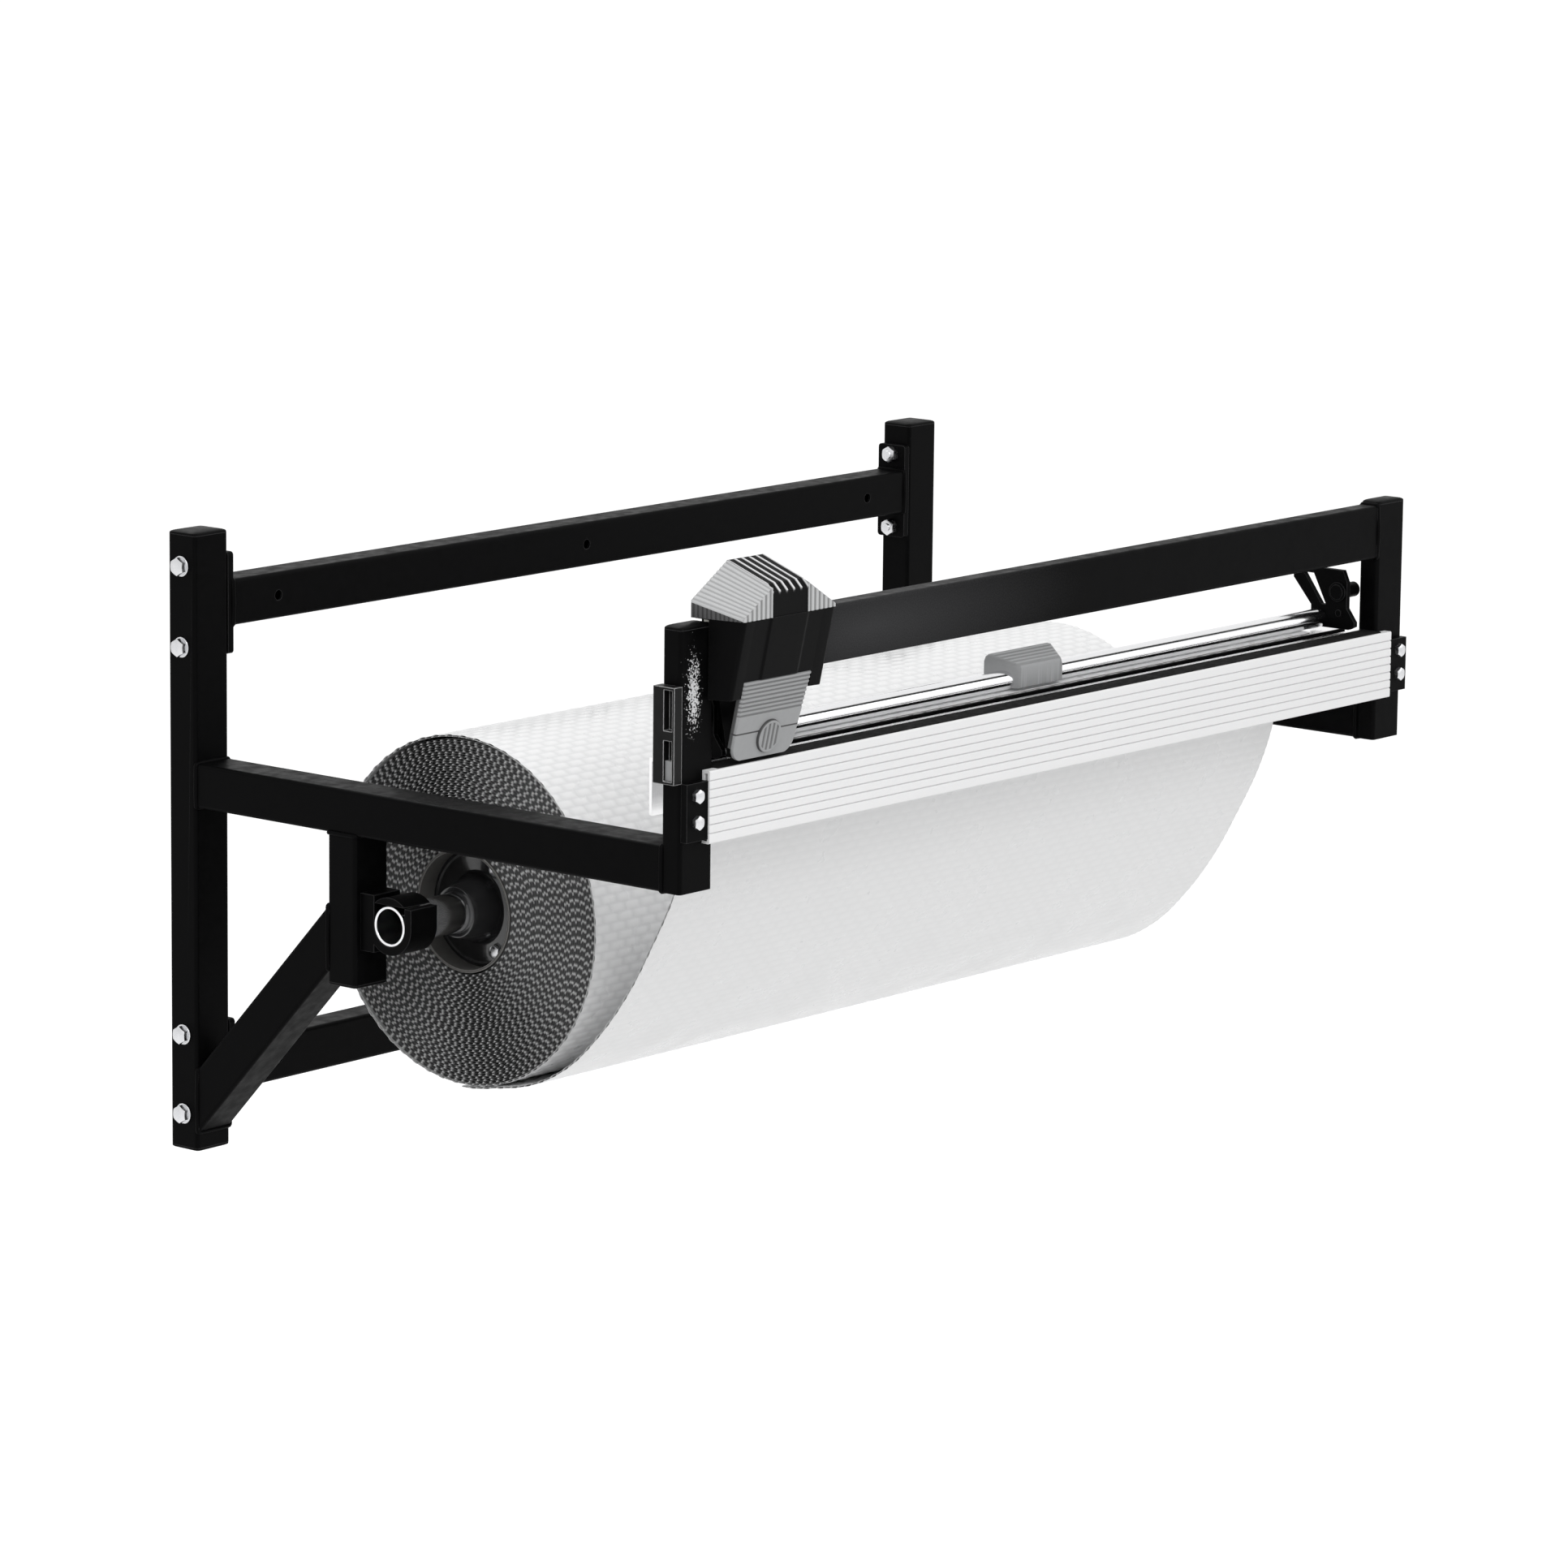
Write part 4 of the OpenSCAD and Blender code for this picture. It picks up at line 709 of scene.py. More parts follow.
# Painted shade along the grooves of the front face.
groove_shade_mark = np.zeros(hollow.shape[:2])
groove_shade_mark[1:3, len(under):len(under) + len(face)] = groove
piece("ribbed_profile", [closed(hollow)], profile_white, "frame", ["front_profile"],
      marks=[("groove", groove_shade_mark)])
strip_low, strip_high = span("rubber_strip")
comb_y = np.linspace(strip_low[1] + STRIP_EDGE, strip_high[1] - STRIP_EDGE, 97)
comb_z = strip_high[2] - STRIP_DEEP * (1 - np.cos(2 * np.pi * (comb_y - strip_low[1]) / STRIP_PITCH))
brim_z = strip_high[2] - STRIP_EDGE
strip = np.concatenate([[[strip_low[1], strip_low[2]], [strip_low[1], brim_z]], points_of(comb_y, comb_z),
                        [[strip_high[1], brim_z], [strip_high[1], strip_low[2]]]])
piece("ribbed_strip", [capped(extruded(strip, strip_low[0], strip_high[0]))], strip_rubber, "frame",
      ["rubber_strip"])

# Beam bolts: bright zinc-plated hexagon bolts, two through each end plate into the post. They hold the
# table and its front profile between the posts.
BEAM_BOLT_D = 8
BEAM_FLAT = 13
beam_low, beam_high = span("beam_bolts")
plate_low, _ = span("beam_end_plates")
beam_bolts = []
for s in (-1, 1):
    for z in (beam_low[2] + BEAM_FLAT / 2, beam_high[2] - BEAM_FLAT / 2):
        at = (s * (beam_high[0] - BEAM_FLAT / np.sqrt(3)), plate_low[1], z)
        beam_bolts += fastener([hexagon(BEAM_FLAT, 0, plate_low[1] - beam_low[1]),
                                disc(BEAM_BOLT_D, plate_low[1] - beam_high[1], 0)], at, (0, -1, 0))
piece("plate_bolts", beam_bolts, zinc, "frame", ["beam_bolts"])

# Free stretch of film: it leaves the roll underneath, hangs in a loose belly, comes up behind the table,
# bends over its back edge and lies on it under the bar. It is the same quilted film, cut at both sides.
BELLY = [(-0.14, -0.004), (0, 0), (0.276, 0.034), (0.464, 0.106), (0.614, 0.217), (0.734, 0.34),
         (0.834, 0.475), (0.915, 0.599), (0.97, 0.722), (0.995, 0.84), (1, 0.93), (1, 0.965)]
WEB_SEAM = 0.5
SEAM_SHADE = 0.25
OPEN_HEIGHT = 0.4
web_r = roll_r + 2 * SEAT + WEB_T / 2
_, table_high = span("cutting_table")
web_start = np.array([axle_y, axle_z - web_r])
web_top = np.array([table_high[1] + SEAT + WEB_T / 2, web_high[2] - WEB_T / 2])
bend_r = WEB_T / 2 + 2 * SEAT
knots = web_start + np.array(BELLY) * (web_top - web_start)
t = np.linspace(0, 1, 12, endpoint=False)[:, None, None]
a, b, c, d = knots[:-3], knots[1:-2], knots[2:-1], knots[3:]
# The belly runs smoothly through its knots, as a Catmull-Rom spline.
curve = (2 * b + (c - a) * t + (2 * a - 5 * b + 4 * c - d) * t ** 2
         + (3 * b - a - 3 * c + d) * t ** 3) / 2
belly = curve.transpose(1, 0, 2).reshape(-1, 2)
axle_at = np.array([axle_y, axle_z])
from_axle = belly - axle_at
reach = np.linalg.norm(from_axle, axis=1, keepdims=True)
belly = np.where(reach < web_r, axle_at + from_axle * web_r / reach, belly)
a = np.radians(np.linspace(0, 90, 13))
bend = web_top - bend_r * points_of(1 - np.cos(a), 1 - np.sin(a))
line = np.concatenate([belly, bend, [[web_low[1], web_top[1]]]])
run = run_along(line)
web_step = ROW / SAMPLES
s = np.unique(np.concatenate([np.arange(0, run[-1] - web_step / 5, web_step), run[len(belly):]]))
centre = at_run(s, run, line)
along = np.gradient(centre, s, axis=0)
along /= np.linalg.norm(along, axis=1, keepdims=True)
normal = points_of(along[:, 1], -along[:, 0])
height = quilt(s / web_step, across + 1)
half = WEB_T / 2 - WEB_SEAM * (1 - height)
cut_row = (pillow(s / web_step) > OPEN_HEIGHT)[:, None]
none = np.zeros((len(s), 1))
offset = np.concatenate([half, none, -half[:, ::-1], none], 1)
web_at = np.concatenate([skin_x + none, x1 - POCKET * cut_row, skin_x[::-1] + none,
                         x0 + POCKET * cut_row], 1)
web_yz = centre[:, None] + offset[..., None] * normal[:, None]
# Painted shade in the pockets along the web's cut sides.
web_cut_shade = np.concatenate([0 * height, cut_row, 0 * height, cut_row], 1)
# Painted shade in the seams between the web's pillows, darkest where the film is lowest.
web_seam_shade = SEAM_SHADE * np.concatenate([(1 - height) ** 2, none, (1 - height[:, ::-1]) ** 2, none], 1)
web = piece("hanging_film", [capped(np.concatenate([web_at[..., None], web_yz], -1))], film, "frame",
            ["film_web"], crease=60, marks=[("cut", web_cut_shade), ("seam", web_seam_shade)])

# Hold-down bar: a chromed rod across the film, bolted between two pivoting levers. The levers and their
# fittings are coated black.
ROD_CHAMFER = 1
SHANK_SLACK = 0.1
dress(powder_coat, "left_lever", "right_lever", "pivot_shafts", "pivot_clips", "clamp_pins")
rod_low, rod_high = span("hold_down_bar")
rod_d = rod_high[1] - rod_low[1]
rod_y, rod_z = (rod_low[1:] + rod_high[1:]) / 2
rod = aim(disc(rod_d, rod_low[0], rod_high[0], ROD_CHAMFER, TUBE_STEPS), (0, rod_y, rod_z), X)
piece("chromed_bar", [capped(rod)], chrome, "hold_down", ["hold_down_bar"])
lever_low, lever_high = span("right_lever")
_, screw_high = span("bar_screws")
end_screws = []
for s in (-1, 1):
    end_screws += fastener([hexagon(BEAM_FLAT, 0, screw_high[0] - lever_high[0]),
                            disc(BEAM_BOLT_D, lever_low[0] - lever_high[0] + SHANK_SLACK, 0)],
                           (s * lever_high[0], rod_y, rod_z), (s, 0, 0))
piece("bar_end_screws", end_screws, powder_coat, "hold_down", ["bar_screws"])

# Lifting grip: a saddle of grey plastic, moulded in one piece, that sits on the middle of the bar. It is
# wider behind and has ribs for the fingers.
GRIP_FRONT = 76
GRIP_FALL = 12
GRIP_ROUND = 4
GRIP_RIBS = 6
RIB_H = 0.9
RIB_FLANK = 2.5
CREST_HIGHLIGHT = 0.6
# On the grey plastic, the groove colour is painted shade and the crest colour a painted highlight.
grey_plastic = coating("grey_plastic", coat_grain, 0.6, [(0.3, 0.305, 0.31), (0.36, 0.365, 0.37)],
                       (0.38, 0.5), (0.46, 0.46, 0.47), bump=0.04, edge=0.7,
                       marks=[("groove", (0.06, 0.06, 0.06)), ("crest", (0.5, 0.51, 0.52))])
grip_low, grip_high = span("hold_down_grip")
grip_x = (grip_low[0] + grip_high[0]) / 2
grip_wide = grip_high[0] - grip_low[0]
grip_depth = grip_high[1] - grip_low[1]


def rounding(inset, radius):
    """Fall of a face near its edge, for a point inset from it: a quarter circle of the radius."""
    return radius - np.sqrt(np.maximum(radius ** 2 - np.clip(radius - inset, 0, radius) ** 2, 0))


def bars(place, pitch, share=0.5):
    """Rounded ribs along a line: 1 on a rib, which takes its share of the pitch, and 0 between."""
    return np.clip(0.5 + RIB_FLANK * (np.cos(2 * np.pi * place / pitch) - np.cos(np.pi * share)), 0, 1)


u = np.linspace(-1, 1, 61)[None]
v = np.linspace(0, 1, 91)[:, None]
half_across = (GRIP_FRONT + (grip_wide - GRIP_FRONT) * v) / 2
grip_y = grip_low[1] + grip_depth * v
side_fall = rounding(half_across * (1 - np.abs(u)), GRIP_ROUND)
ribs = bars(grip_y - grip_low[1], grip_depth / GRIP_RIBS) * (side_fall == 0)
top = (grip_high[2] - GRIP_FALL * (1 - v) - RIB_H * (1 - ribs) - side_fall
       - rounding(grip_depth * np.minimum(v, 1 - v), GRIP_ROUND))
grip_shell = points_of(grip_x + half_across * u, grip_y, top)
grip_shell = np.pad(grip_shell, ((1, 1), (1, 1), (0, 0)), mode="edge")
grip_shell[[0, -1], :, 2] = grip_low[2]
grip_shell[:, [0, -1], 2] = grip_low[2]
grip_floor = grip_shell * [1, 1, 0] + [0, 0, grip_low[2]]
# Painted highlight along the crests of the grip's ribs.
piece("lifting_grip", [(grip_shell, False, False, ""), (grip_floor, False, False, "")], grey_plastic,
      "hold_down", ["hold_down_grip"],
      marks=[("crest", np.pad(ribs, 1, mode="edge") * CREST_HIGHLIGHT)])

# Cassette on the left post: a folded black box, and a block of grey plastic in the lower one. The rims
# round its windows are painted bright, a painted highlight along their edges.
bracket_paint = coating("bracket_paint", coat_grain, 1.1, [(0.003, 0.003, 0.003), (0.012, 0.012, 0.012)],
                        (0.36, 0.5), (0.9, 0.9, 0.91), edge=1.3, Specular_IOR_Level=0.1)
dress(bracket_paint, "side_bracket")
dress(grey_plastic, "bracket_block")

# Painted light on the coat: speckled painted glints on the left post's front, and a dull grey painted sheen
# on the crossbar beside the head that fades away along it.
POST_GLINTS = {"at": (-606, -720, 243), "size": (19, 10, 68), "fineness": 520, "gain": 0.5,
         "shown": (0.8, 0.88), "painted_light": (0.7, 0.7, 0.71)}
BAR_SHEEN = {"at": (-330, -720, 277), "size": (390, 40, 90), "fineness": 700, "gain": 1.6,
         "shown": (0.65, 2.4), "painted_light": (0.05, 0.05, 0.052)}


def painted_light_coat(name, at, size, fineness, gain, shown, painted_light):
    """The powder coat with a patch of painted light in another colour: gain times a ball that fades from at
    to size mm, plus noise, shown between two of its values."""
    coat = powder_coat.copy()
    coat.name = name
    tree = coat.node_tree
    base = tree.nodes["Principled BSDF"].inputs["Base Color"]
    place = node(tree, "TexCoord").outputs["Object"]
    ball = node(tree, "Mapping", {"Vector": place, "Location": np.multiply(at, MM),
                                  "Scale": np.multiply(size, MM)}, vector_type="TEXTURE")
    fading = node(tree, "TexGradient", {"Vector": ball.outputs[0]}, gradient_type="SPHERICAL")
    specks = node(tree, "TexNoise", {"Vector": place, "Scale": fineness, "Detail": 2})
    painted_share = node(tree, "Math", {0: fading.outputs["Fac"], 1: gain, 2: specks.outputs["Fac"]},
                operation="MULTIPLY_ADD")
    share = node(tree, "MapRange", {"Value": painted_share.outputs[0], "From Min": shown[0], "From Max": shown[1]})
    tree.links.new(mixed(tree, share.outputs[0], base.links[0].from_socket, painted_light), base)
    return coat


dress(painted_light_coat("glint_painted_coat", **POST_GLINTS), "left_post")
dress(painted_light_coat("sheen_painted_coat", **BAR_SHEEN), "crossbar")

# Cutter head, inside: a black plastic carriage that runs on the crossbar with nylon shoes, and the steel
# blade in its plastic cartridge. Zinc-plated screws hold them together.
ground_lines = pattern_group("ground_lines", (1, 1, 0.05))
nylon = coating("nylon", coat_grain, 0.8, [(0.62, 0.61, 0.56), (0.72, 0.71, 0.66)], (0.4, 0.55),
                (0.78, 0.77, 0.72), bump=0.03)
blade_steel = coating("blade_steel", ground_lines, 0.4, [(0.6, 0.61, 0.62), (0.8, 0.8, 0.81)], (0.18, 0.3),
                      (0.9, 0.9, 0.9), bump=0.01, edge=0.2, Metallic=1.0)
dress(black_plastic, "carriage", "blade_cartridge")
dress(nylon, "slide_shoes")
dress(blade_steel, "blade")
dress(zinc, "cutter_screws")

# Shell of the head: black moulding round its front and sides. Its front leans back, with a raised
# middle panel between two folds and a notch for the grey covers.
LEAN = np.radians(12.5)
COVER_HALF = 53
COVER_TOP = 66.6
COVER_LOW = 152.6
FRONT_HALF = 72
SHELL_T = 2.5
SHELL_ROUND = 5
NOTCH_EDGE = 0.01
PANEL_HALF = 28
PANEL_RISE = 1.2
FOLD_W = 2.5
FOLD_FADE = 4
shell_low, shell_high = span("head_shell")
head_x = (shell_low[0] + shell_high[0]) / 2
deck_z = shell_high[2]
front_y = shell_low[1]
shell_half = (shell_high[0] - shell_low[0]) / 2
notch_z = deck_z - (COVER_TOP - SEAT) * np.cos(LEAN)


def shell_wall(inward):
    """The shell's face moved inward: across the leaning front with the panel's folds, round each front
    corner, and back along each side. Columns go down from the deck, and in the notch stop at its edge."""
    half_front = FRONT_HALF - inward
    notch = COVER_HALF + SEAT
    x = np.concatenate([[SHELL_ROUND - half_front, -notch - NOTCH_EDGE], np.linspace(-notch, notch, 84),
                        [notch + NOTCH_EDGE, half_front - SHELL_ROUND]])
    far = half_front - SHELL_ROUND - np.abs(x)
    fold = PANEL_RISE * np.clip((np.abs(x) - PANEL_HALF) / FOLD_W, 0, 1) * np.clip(far / FOLD_FADE, 0, 1)
    corner = np.radians(np.linspace(0, 80, 9))[1:]
    bulge_x = half_front - SHELL_ROUND + SHELL_ROUND * np.sin(corner)
    bulge_y = SHELL_ROUND * (1 - np.cos(corner))
    back = np.linspace(0, 1, 12)[1:]
    drop = np.linspace(0, 1, 42)[:, None]
    z_front = deck_z - drop * (deck_z - np.where(np.abs(x) <= notch, notch_z, shell_low[2]))
    z_side = deck_z - drop * (deck_z - shell_low[2])
    lean_side = front_y + (deck_z - z_side) * np.tan(LEAN) + inward
    lean_front = front_y + (deck_z - z_front) * np.tan(LEAN) + inward
    front = points_of(x, lean_front + fold, z_front)
    rounded = points_of(bulge_x, lean_side + bulge_y, z_side)
    start = lean_side + bulge_y[-1]
    side = points_of(bulge_x[-1] + back * (shell_half - inward - bulge_x[-1]),
                     start + back * (shell_high[1] - start), z_side)
    flank = np.concatenate([rounded, side], 1)
    return np.concatenate([flank[:, ::-1] * [-1, 1, 1], front, flank], 1) + [head_x, 0, 0]


shell = np.concatenate([shell_wall(0), shell_wall(SHELL_T)[::-1]]).transpose(1, 0, 2)
piece("moulded_shell", [capped(shell)], black_plastic, "cutter", ["head_shell"], crease=25)

# Grip pads: light grey ribbed pads on both shoulders of the head. The ribs run front to back on top
# and upright on the front facet, and a darker ribbed wall closes each side.
PAD_PITCH = 5.0
FACET_PITCH = 7.0
PAD_EDGE = 2.5
RIDGE_BACK = 61
FRONT_FALL = 0.36
SIDE_FALL = 0.62
FACET_SHADE = 0.7
ROOF_SHADE = 0.4
SLAB_SHADE = 0.8
SLAB_SHARE = (0.03, 0.985)
SLAB_IN = 0.5
SLAB_OUT = 0.25
SLAB_RIB = 0.8
SLAB_LIFT = 0.2
pad_low, pad_high = span("right_grip_pad")
shoulder_half = pad_high[0] - head_x
# The groove colours on both greys are painted shade between the ribs.
pad_grey = coating("pad_grey", coat_grain, 0.6, [(0.5, 0.505, 0.51), (0.58, 0.585, 0.59)], (0.4, 0.55),
                   (0.62, 0.62, 0.63), bump=0.04, marks=[("groove", (0.12, 0.12, 0.12))])
side_grey = coating("side_grey", coat_grain, 0.6, [(0.05, 0.05, 0.052), (0.08, 0.08, 0.083)], (0.4, 0.55),
                    (0.16, 0.16, 0.16), bump=0.04, marks=[("groove", (0.01, 0.01, 0.01))])
ridge_y = pad_low[1] + RIDGE_BACK
ridge_top = pad_high[2]
front_top = ridge_top - FRONT_FALL * RIDGE_BACK
across_mm = np.linspace(0, 1, 133)[:, None] * (shoulder_half - PANEL_HALF)
share = across_mm / (shoulder_half - PANEL_HALF)
facet_x = PANEL_HALF + (FRONT_HALF - PANEL_HALF) * share
facet_top = front_top - SIDE_FALL * (facet_x - PANEL_HALF)
ridge_x = PANEL_HALF + across_mm
crown = ridge_top - SIDE_FALL * across_mm
back_y = pad_high[1] - (pad_high[1] - ridge_y) * share
t = np.linspace(0, 1, 14)[None]
groove_front = (1 - bars(facet_x - PANEL_HALF, FACET_PITCH, share=0.55)) + 0 * t
edge_fall = rounding(shoulder_half - ridge_x, PAD_EDGE)
facet = points_of(facet_x, pad_low[1] + RIB_H * groove_front + edge_fall, deck_z + t * (facet_top - deck_z))
t = np.linspace(0, 1, 40)[None, 1:]
groove_top = (1 - bars(across_mm, PAD_PITCH, share=0.62)) + 0 * t
roof = points_of(facet_x + t * (ridge_x - facet_x), pad_low[1] + t * RIDGE_BACK,
                 facet_top + t * (crown - facet_top) - RIB_H * groove_top - edge_fall)
behind = points_of(ridge_x, ridge_y + t * (back_y - ridge_y), crown + t * (deck_z - crown))
pad = np.concatenate([facet, roof, behind], 1)
# Painted shade in the grooves between the ribs on the facet and the roof.
pad_groove_shade = np.concatenate([FACET_SHADE * groove_front, ROOF_SHADE * groove_top, 0 * groove_top], 1)
s = np.linspace(*SLAB_SHARE, 121)
wall_x = FRONT_HALF + (shoulder_half - FRONT_HALF) * s
wall_y = pad_low[1] + RIDGE_BACK * s
wall_top = facet_top[-1] + (crown[-1] - facet_top[-1]) * s - PAD_EDGE
rib = bars(s * RIDGE_BACK, PAD_PITCH, share=0.6)
wall_low = deck_z + SLAB_LIFT
wall_out = SLAB_OUT + SLAB_RIB * rib
slab_ring = [(-SLAB_IN, wall_low), (wall_out, wall_low), (wall_out, wall_top), (-SLAB_IN, wall_top)]
slab = np.stack([points_of(wall_x + out, wall_y, z) for out, z in slab_ring], 1)
# Painted shade in the grooves between the side wall's ribs.
slab_groove_shade = np.repeat((1 - rib)[:, None], len(slab_ring), 1) * SLAB_SHADE
for side, name in ((-1, "left"), (1, "right")):
    flip = np.array([side, 1, 1])
    piece(f"{name}_pad", [capped(pad * flip + [head_x, 0, 0])], pad_grey, "cutter",
          [f"{name}_grip_pad"], marks=[("groove", pad_groove_shade)])
    piece(f"{name}_pad_side", [capped(slab * flip + [head_x, 0, 0])], side_grey, "cutter",
          marks=[("groove", slab_groove_shade)])

# Centre band: a black plastic strip, moulded with ribs, that lies over the top of the head between the
# pads. Its rib crests are painted bright, a painted highlight.
BAND_RIBS = 5
BAND_DROP = 8
BAND_FADE = 3
FOLD_NEAR = 0.8
band_plastic = coating("band_plastic", coat_grain, 0.7, [(0.002, 0.002, 0.0021), (0.004, 0.004, 0.0042)],
                       (0.36, 0.46), (0.03, 0.03, 0.03), bump=0.03, Specular_IOR_Level=0.05,
                       marks=[("crest", (0.75, 0.75, 0.76))])
band_low, band_high = span("centre_band")
band_half = (band_high[0] - band_low[0]) / 2
band_path = np.array([(band_high[1], deck_z), (ridge_y + 1, band_high[2]),
                      (band_low[1] + BAND_DROP, front_top + FRONT_FALL * BAND_DROP + 1),
                      (band_low[1], front_top - BAND_DROP / 2), (band_low[1], deck_z)])
band_run = run_along(band_path)
s = np.sort(np.concatenate([np.linspace(0, band_run[-1], 90), band_run[1:-1] - FOLD_NEAR,
                            band_run[1:-1] + FOLD_NEAR]))
band_line = at_run(s, band_run, band_path)
band_x = np.linspace(-band_half, band_half, 155)[:, None]
band_rib = bars(band_x + band_half / BAND_RIBS, 2 * band_half / BAND_RIBS, share=0.3)
on_top = (np.clip((s - band_run[1]) / BAND_FADE, 0, 1)
          * np.clip((band_run[3] + BAND_FADE - s) / BAND_FADE, 0, 1))[None]
way = np.gradient(band_line, axis=0)
way /= np.linalg.norm(way, axis=1, keepdims=True)
inward = points_of(-way[:, 1], way[:, 0])
inward *= np.sign((inward * ([ridge_y, deck_z] - band_line)).sum(1))[:, None]
band_yz = band_line + (1 - band_rib * on_top)[..., None] * inward
band = np.concatenate([(band_x + 0 * on_top)[..., None], band_yz], -1) + [head_x, 0, 0]
# Painted highlight on the rib crests along the top.
piece("ribbed_band", [capped(band)], band_plastic, "cutter", ["centre_band"],
      marks=[("crest", (band_rib * on_top) ** 2)])

# Covers: two grey mouldings on the leaning front, split across the button. The upper one has eight ribs.
# Each has a lip down its sides, and they leave a round hole that the button fills.
COVER_T = 3
COVER_STEP = 0.5
SIDE_DENSER = 0.7
COVER_SPLIT = 122.9
COVER_RIBS = 8
COVER_RIB_GAP = 4.6
SIDE_ROUND = 2
END_ROUND = 1.2
SPLIT_HALF = 0.8
COVER_THIN = 0.2
RIB_SHADE = 0.6
LIP_SHADE = 0.8
LIP_DROP = 19
BUTTON_DROP = 130.1
HOLE_R = 17.85
CORNER_R = 16
CORNERS = {-1: (0, 37), 1: (0.1267, 28)}


def on_front(grid):
    """From the leaning front's own frame (across, inward, down from the deck's edge) to the part's."""
    x, inwards, down = np.moveaxis(grid, -1, 0)
    return points_of(head_x + x, front_y + down * np.sin(LEAN) + inwards * np.cos(LEAN),
                     deck_z - down * np.cos(LEAN) + inwards * np.sin(LEAN))


def cover_half(down, side, in_hole):
    """One half of a cover: the rows go down, and a row goes from the middle, or the hole's edge, over the
    front to the side, and back behind. The right side tapers and both end in corner rounds. Also the
    painted shade of each point, in the grooves between the ribs and in the split."""
    d = down[:, None]
    taper, corner_x = CORNERS[side]
    rounded = corner_x + np.sqrt(np.maximum(CORNER_R ** 2 - (d - COVER_LOW + CORNER_R) ** 2, 0))
    outer = np.where(d < COVER_LOW - CORNER_R + 2, COVER_HALF - taper * (d - COVER_TOP), rounded)
    inner = np.sqrt(np.maximum(HOLE_R ** 2 - (d - BUTTON_DROP) ** 2, 0)) if in_hole else 0 * d
    x = inner + (outer - inner) * np.linspace(0, 1, 22)[None] ** SIDE_DENSER
    ribbed = d < COVER_TOP + (COVER_RIBS + 0.5) * COVER_RIB_GAP
    rib = (1 - bars(d - COVER_TOP - COVER_RIB_GAP / 2, COVER_RIB_GAP, share=0.55)) * ribbed
    ends = np.minimum(d - COVER_TOP, COVER_LOW - d)
    fall = rounding(outer - x, SIDE_ROUND) + rounding(ends, END_ROUND)
    front = np.minimum(RIB_H * rib + fall, COVER_T - COVER_THIN)
    row = np.concatenate([points_of(x, front, d), points_of(x, COVER_T, d)[:, ::-1]], 1)
    # Painted shade between the ribs and in the split between the covers.
    dark = np.maximum(RIB_SHADE * rib, np.abs(d - COVER_SPLIT) < SPLIT_HALF)
    return on_front(row * [side, 1, 1]), dark * np.ones((1, row.shape[1]))


def lip(side, top, low):
    """Skirt behind a cover's side, as (inset, depth) pairs carried down it."""
    d = np.linspace(top, low, 24)
    x = COVER_HALF - CORNERS[side][0] * (d - COVER_TOP)
    loop = [(0.4, 2), (0, 3), (0, 7), (2, 7), (2, 2.5)]
    return on_front(np.stack([points_of(x - i, y, d) for i, y in loop], 1) * [side, 1, 1])


def rows(top, low):
    """Places down a cover, COVER_STEP apart."""
    return np.linspace(top, low, int((low - top) / COVER_STEP) + 2)


hole_top, hole_low = BUTTON_DROP - HOLE_R, BUTTON_DROP + HOLE_R
cover_parts = {
    "upper": ([(rows(COVER_TOP, hole_top), False, "first"), (rows(hole_top, COVER_SPLIT), True, "last")],
              (COVER_TOP + LIP_DROP, COVER_SPLIT)),
    "lower": ([(rows(COVER_SPLIT + SEAT, hole_low), True, "first"),
               (rows(hole_low, COVER_LOW), False, "last")],
              (COVER_SPLIT + SEAT, COVER_LOW - CORNER_R + 2))}
for name, (parts, lip_rows) in cover_parts.items():
    grids, darks = [], []
    for down, in_hole, ends in parts:
        for side in (-1, 1):
            grid, dark = cover_half(down, side, in_hole)
            grids.append((grid, False, in_hole, ends))
            darks.append(dark.ravel())
    skirts = [lip(side, *lip_rows) for side in (-1, 1)]
    grids += [capped(skirt) for skirt in skirts]
    # The lips behind the covers' sides take painted shade.
    darks += [np.full(skirt[..., 0].size, LIP_SHADE) for skirt in skirts]
    piece(f"{name}_front_cover", grids, grey_plastic, "cutter", [f"{name}_cover"],
          crease=40, marks=[("groove", np.concatenate(darks))])

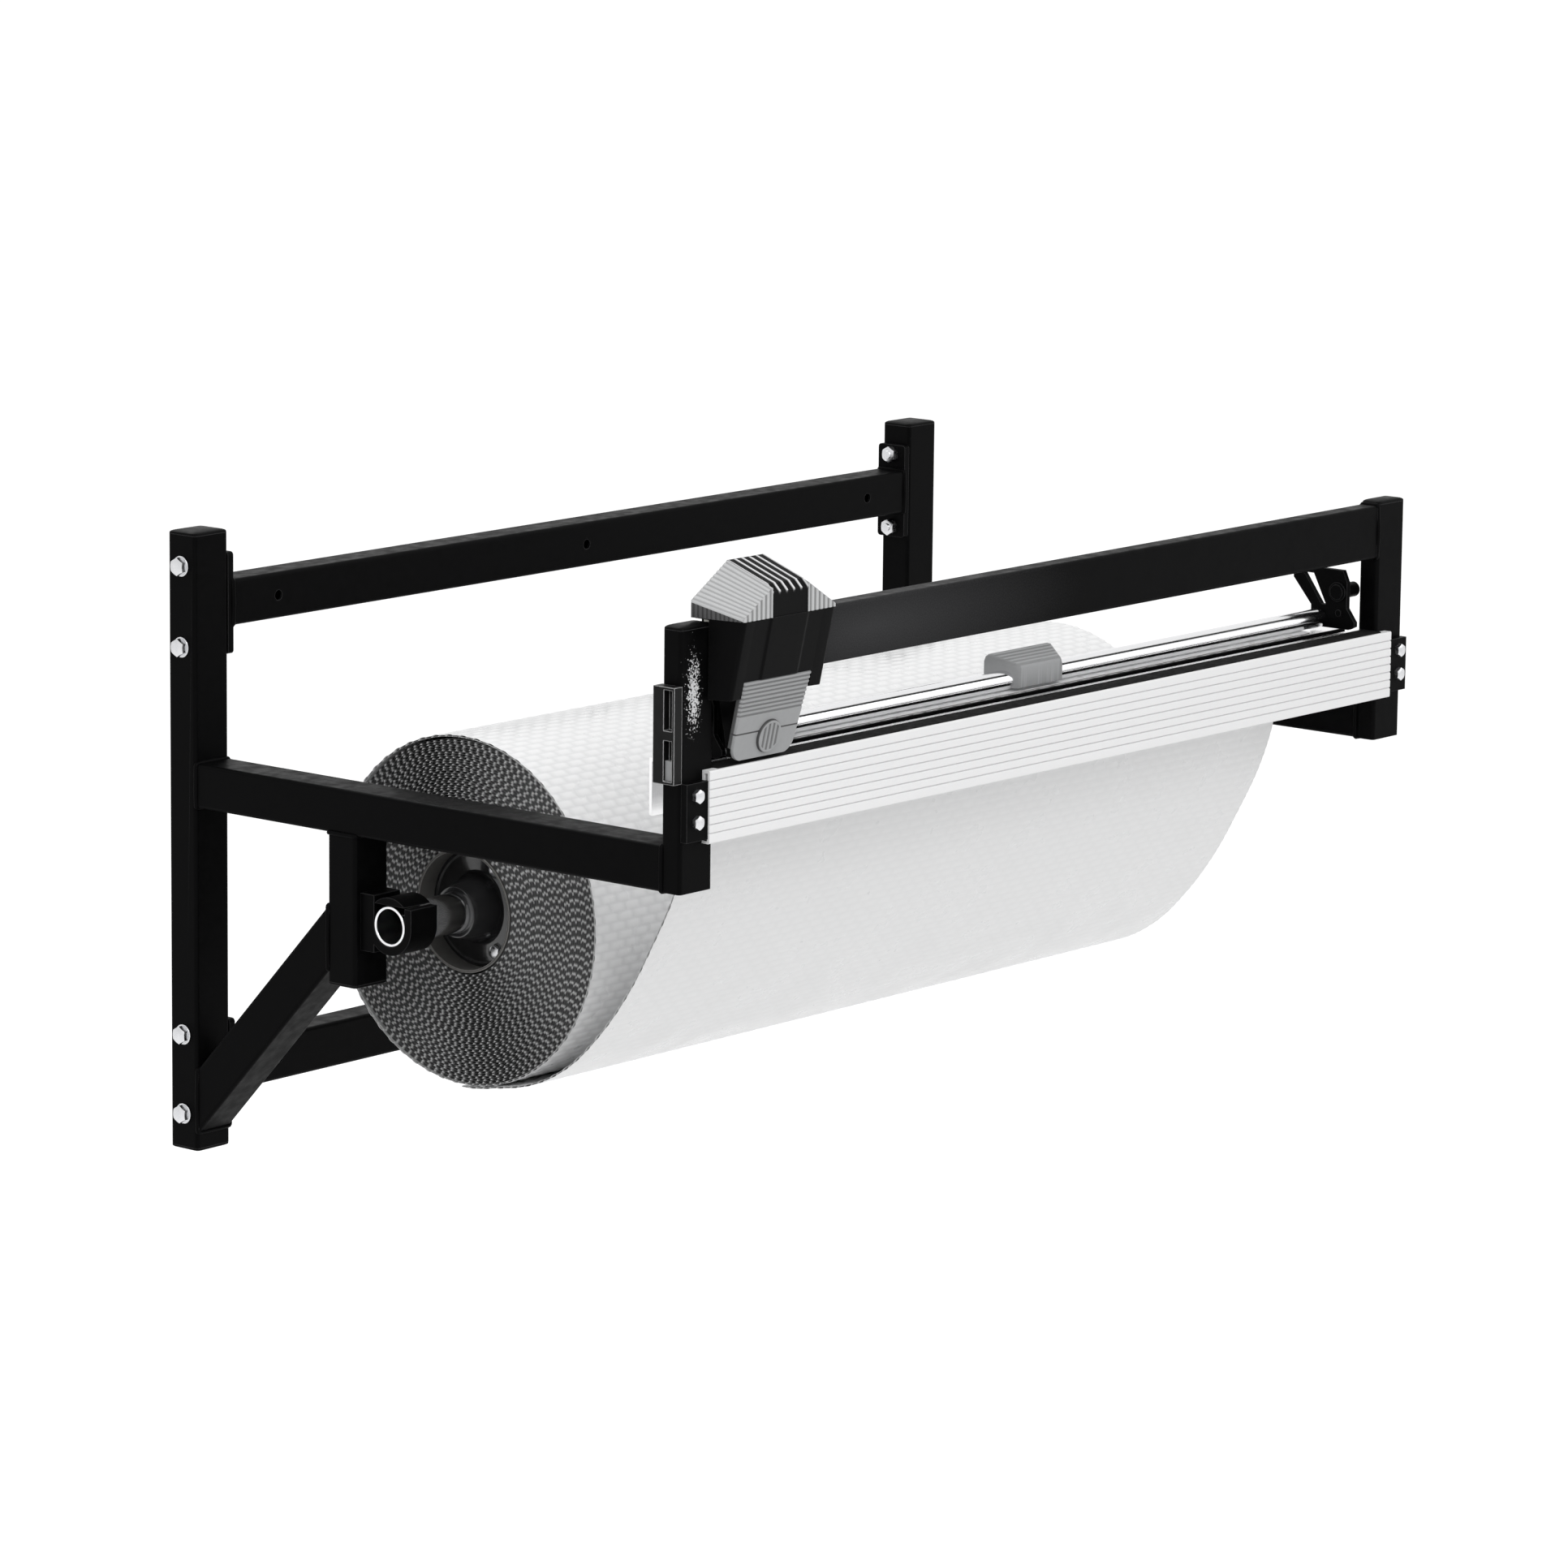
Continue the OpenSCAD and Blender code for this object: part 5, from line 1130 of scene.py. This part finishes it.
# Release button: a round button of grey plastic with upright ridges. It stands 3 mm out of the covers,
# and a flange behind them keeps it in.
BUTTON_R = 17.5
FLANGE_R = 19.5
FLANGE_SPAN = (3.3, 5.3)
BUTTON_PROUD = 3
BUTTON_ROUND = 1.4
FACE_INSET = 1.8
KNOB_STEPS = 120
RIDGE_PITCH = 6.5
RIDGE_INSET = 3
RIDGE_DEEP = 0.8
RIDGE_SHADE = 0.7
RIM_W = 0.5
edge = np.radians(np.linspace(0, 90, 7))
button_profile = [(0, FLANGE_SPAN[1]), (FLANGE_R, FLANGE_SPAN[1]), (FLANGE_R, FLANGE_SPAN[0]),
                  (BUTTON_R, FLANGE_SPAN[0])]
button_profile += [(BUTTON_R - BUTTON_ROUND * (1 - np.cos(q)),
                    -BUTTON_PROUD + BUTTON_ROUND * (1 - np.sin(q))) for q in edge]
button_profile += [(r, -BUTTON_PROUD) for r in np.linspace(BUTTON_R - FACE_INSET, 0, 34)]
knob = lathe(button_profile, KNOB_STEPS)
knob_x, knob_d, knob_in = np.moveaxis(knob, -1, 0)
from_middle = np.hypot(knob_x, knob_d)
on_face = (knob_in == -BUTTON_PROUD) & (from_middle < BUTTON_R - RIDGE_INSET)
between = np.where(on_face, 1 - bars(knob_x, RIDGE_PITCH), 0.0)
button_grid = on_front(points_of(knob_x, knob_in + RIDGE_DEEP * between, BUTTON_DROP + knob_d))
# Painted shade in the grooves between the ridges and as a dark ring round the button's edge.
piece("ridged_button", [closed(button_grid)], grey_plastic, "button", ["release_button"],
      marks=[("groove", np.maximum(RIDGE_SHADE * between, from_middle > BUTTON_R - RIM_W))])

# Return spring: a coil of bright steel wire behind the button. It sits in the carriage and moves with the
# button.
SPRING_R = 6.5
SPRING_WIRE = 1.2
SPRING_TURNS = 4
SPRING_SPAN = (6.2, 14.9)
t = np.linspace(0, 1, 40 * SPRING_TURNS)[:, None]
q = full_turn(12)[None]
coil_r = SPRING_R + SPRING_WIRE / 2 * np.cos(q)
coil_in = SPRING_SPAN[0] + (SPRING_SPAN[1] - SPRING_SPAN[0]) * t + SPRING_WIRE / 2 * np.sin(q)
coil = points_of(coil_r * np.cos(2 * np.pi * SPRING_TURNS * t), coil_in,
                 BUTTON_DROP + coil_r * np.sin(2 * np.pi * SPRING_TURNS * t))
spring = piece("return_spring", [capped(on_front(coil))], zinc, "button", ["button_spring"])
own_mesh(spring)
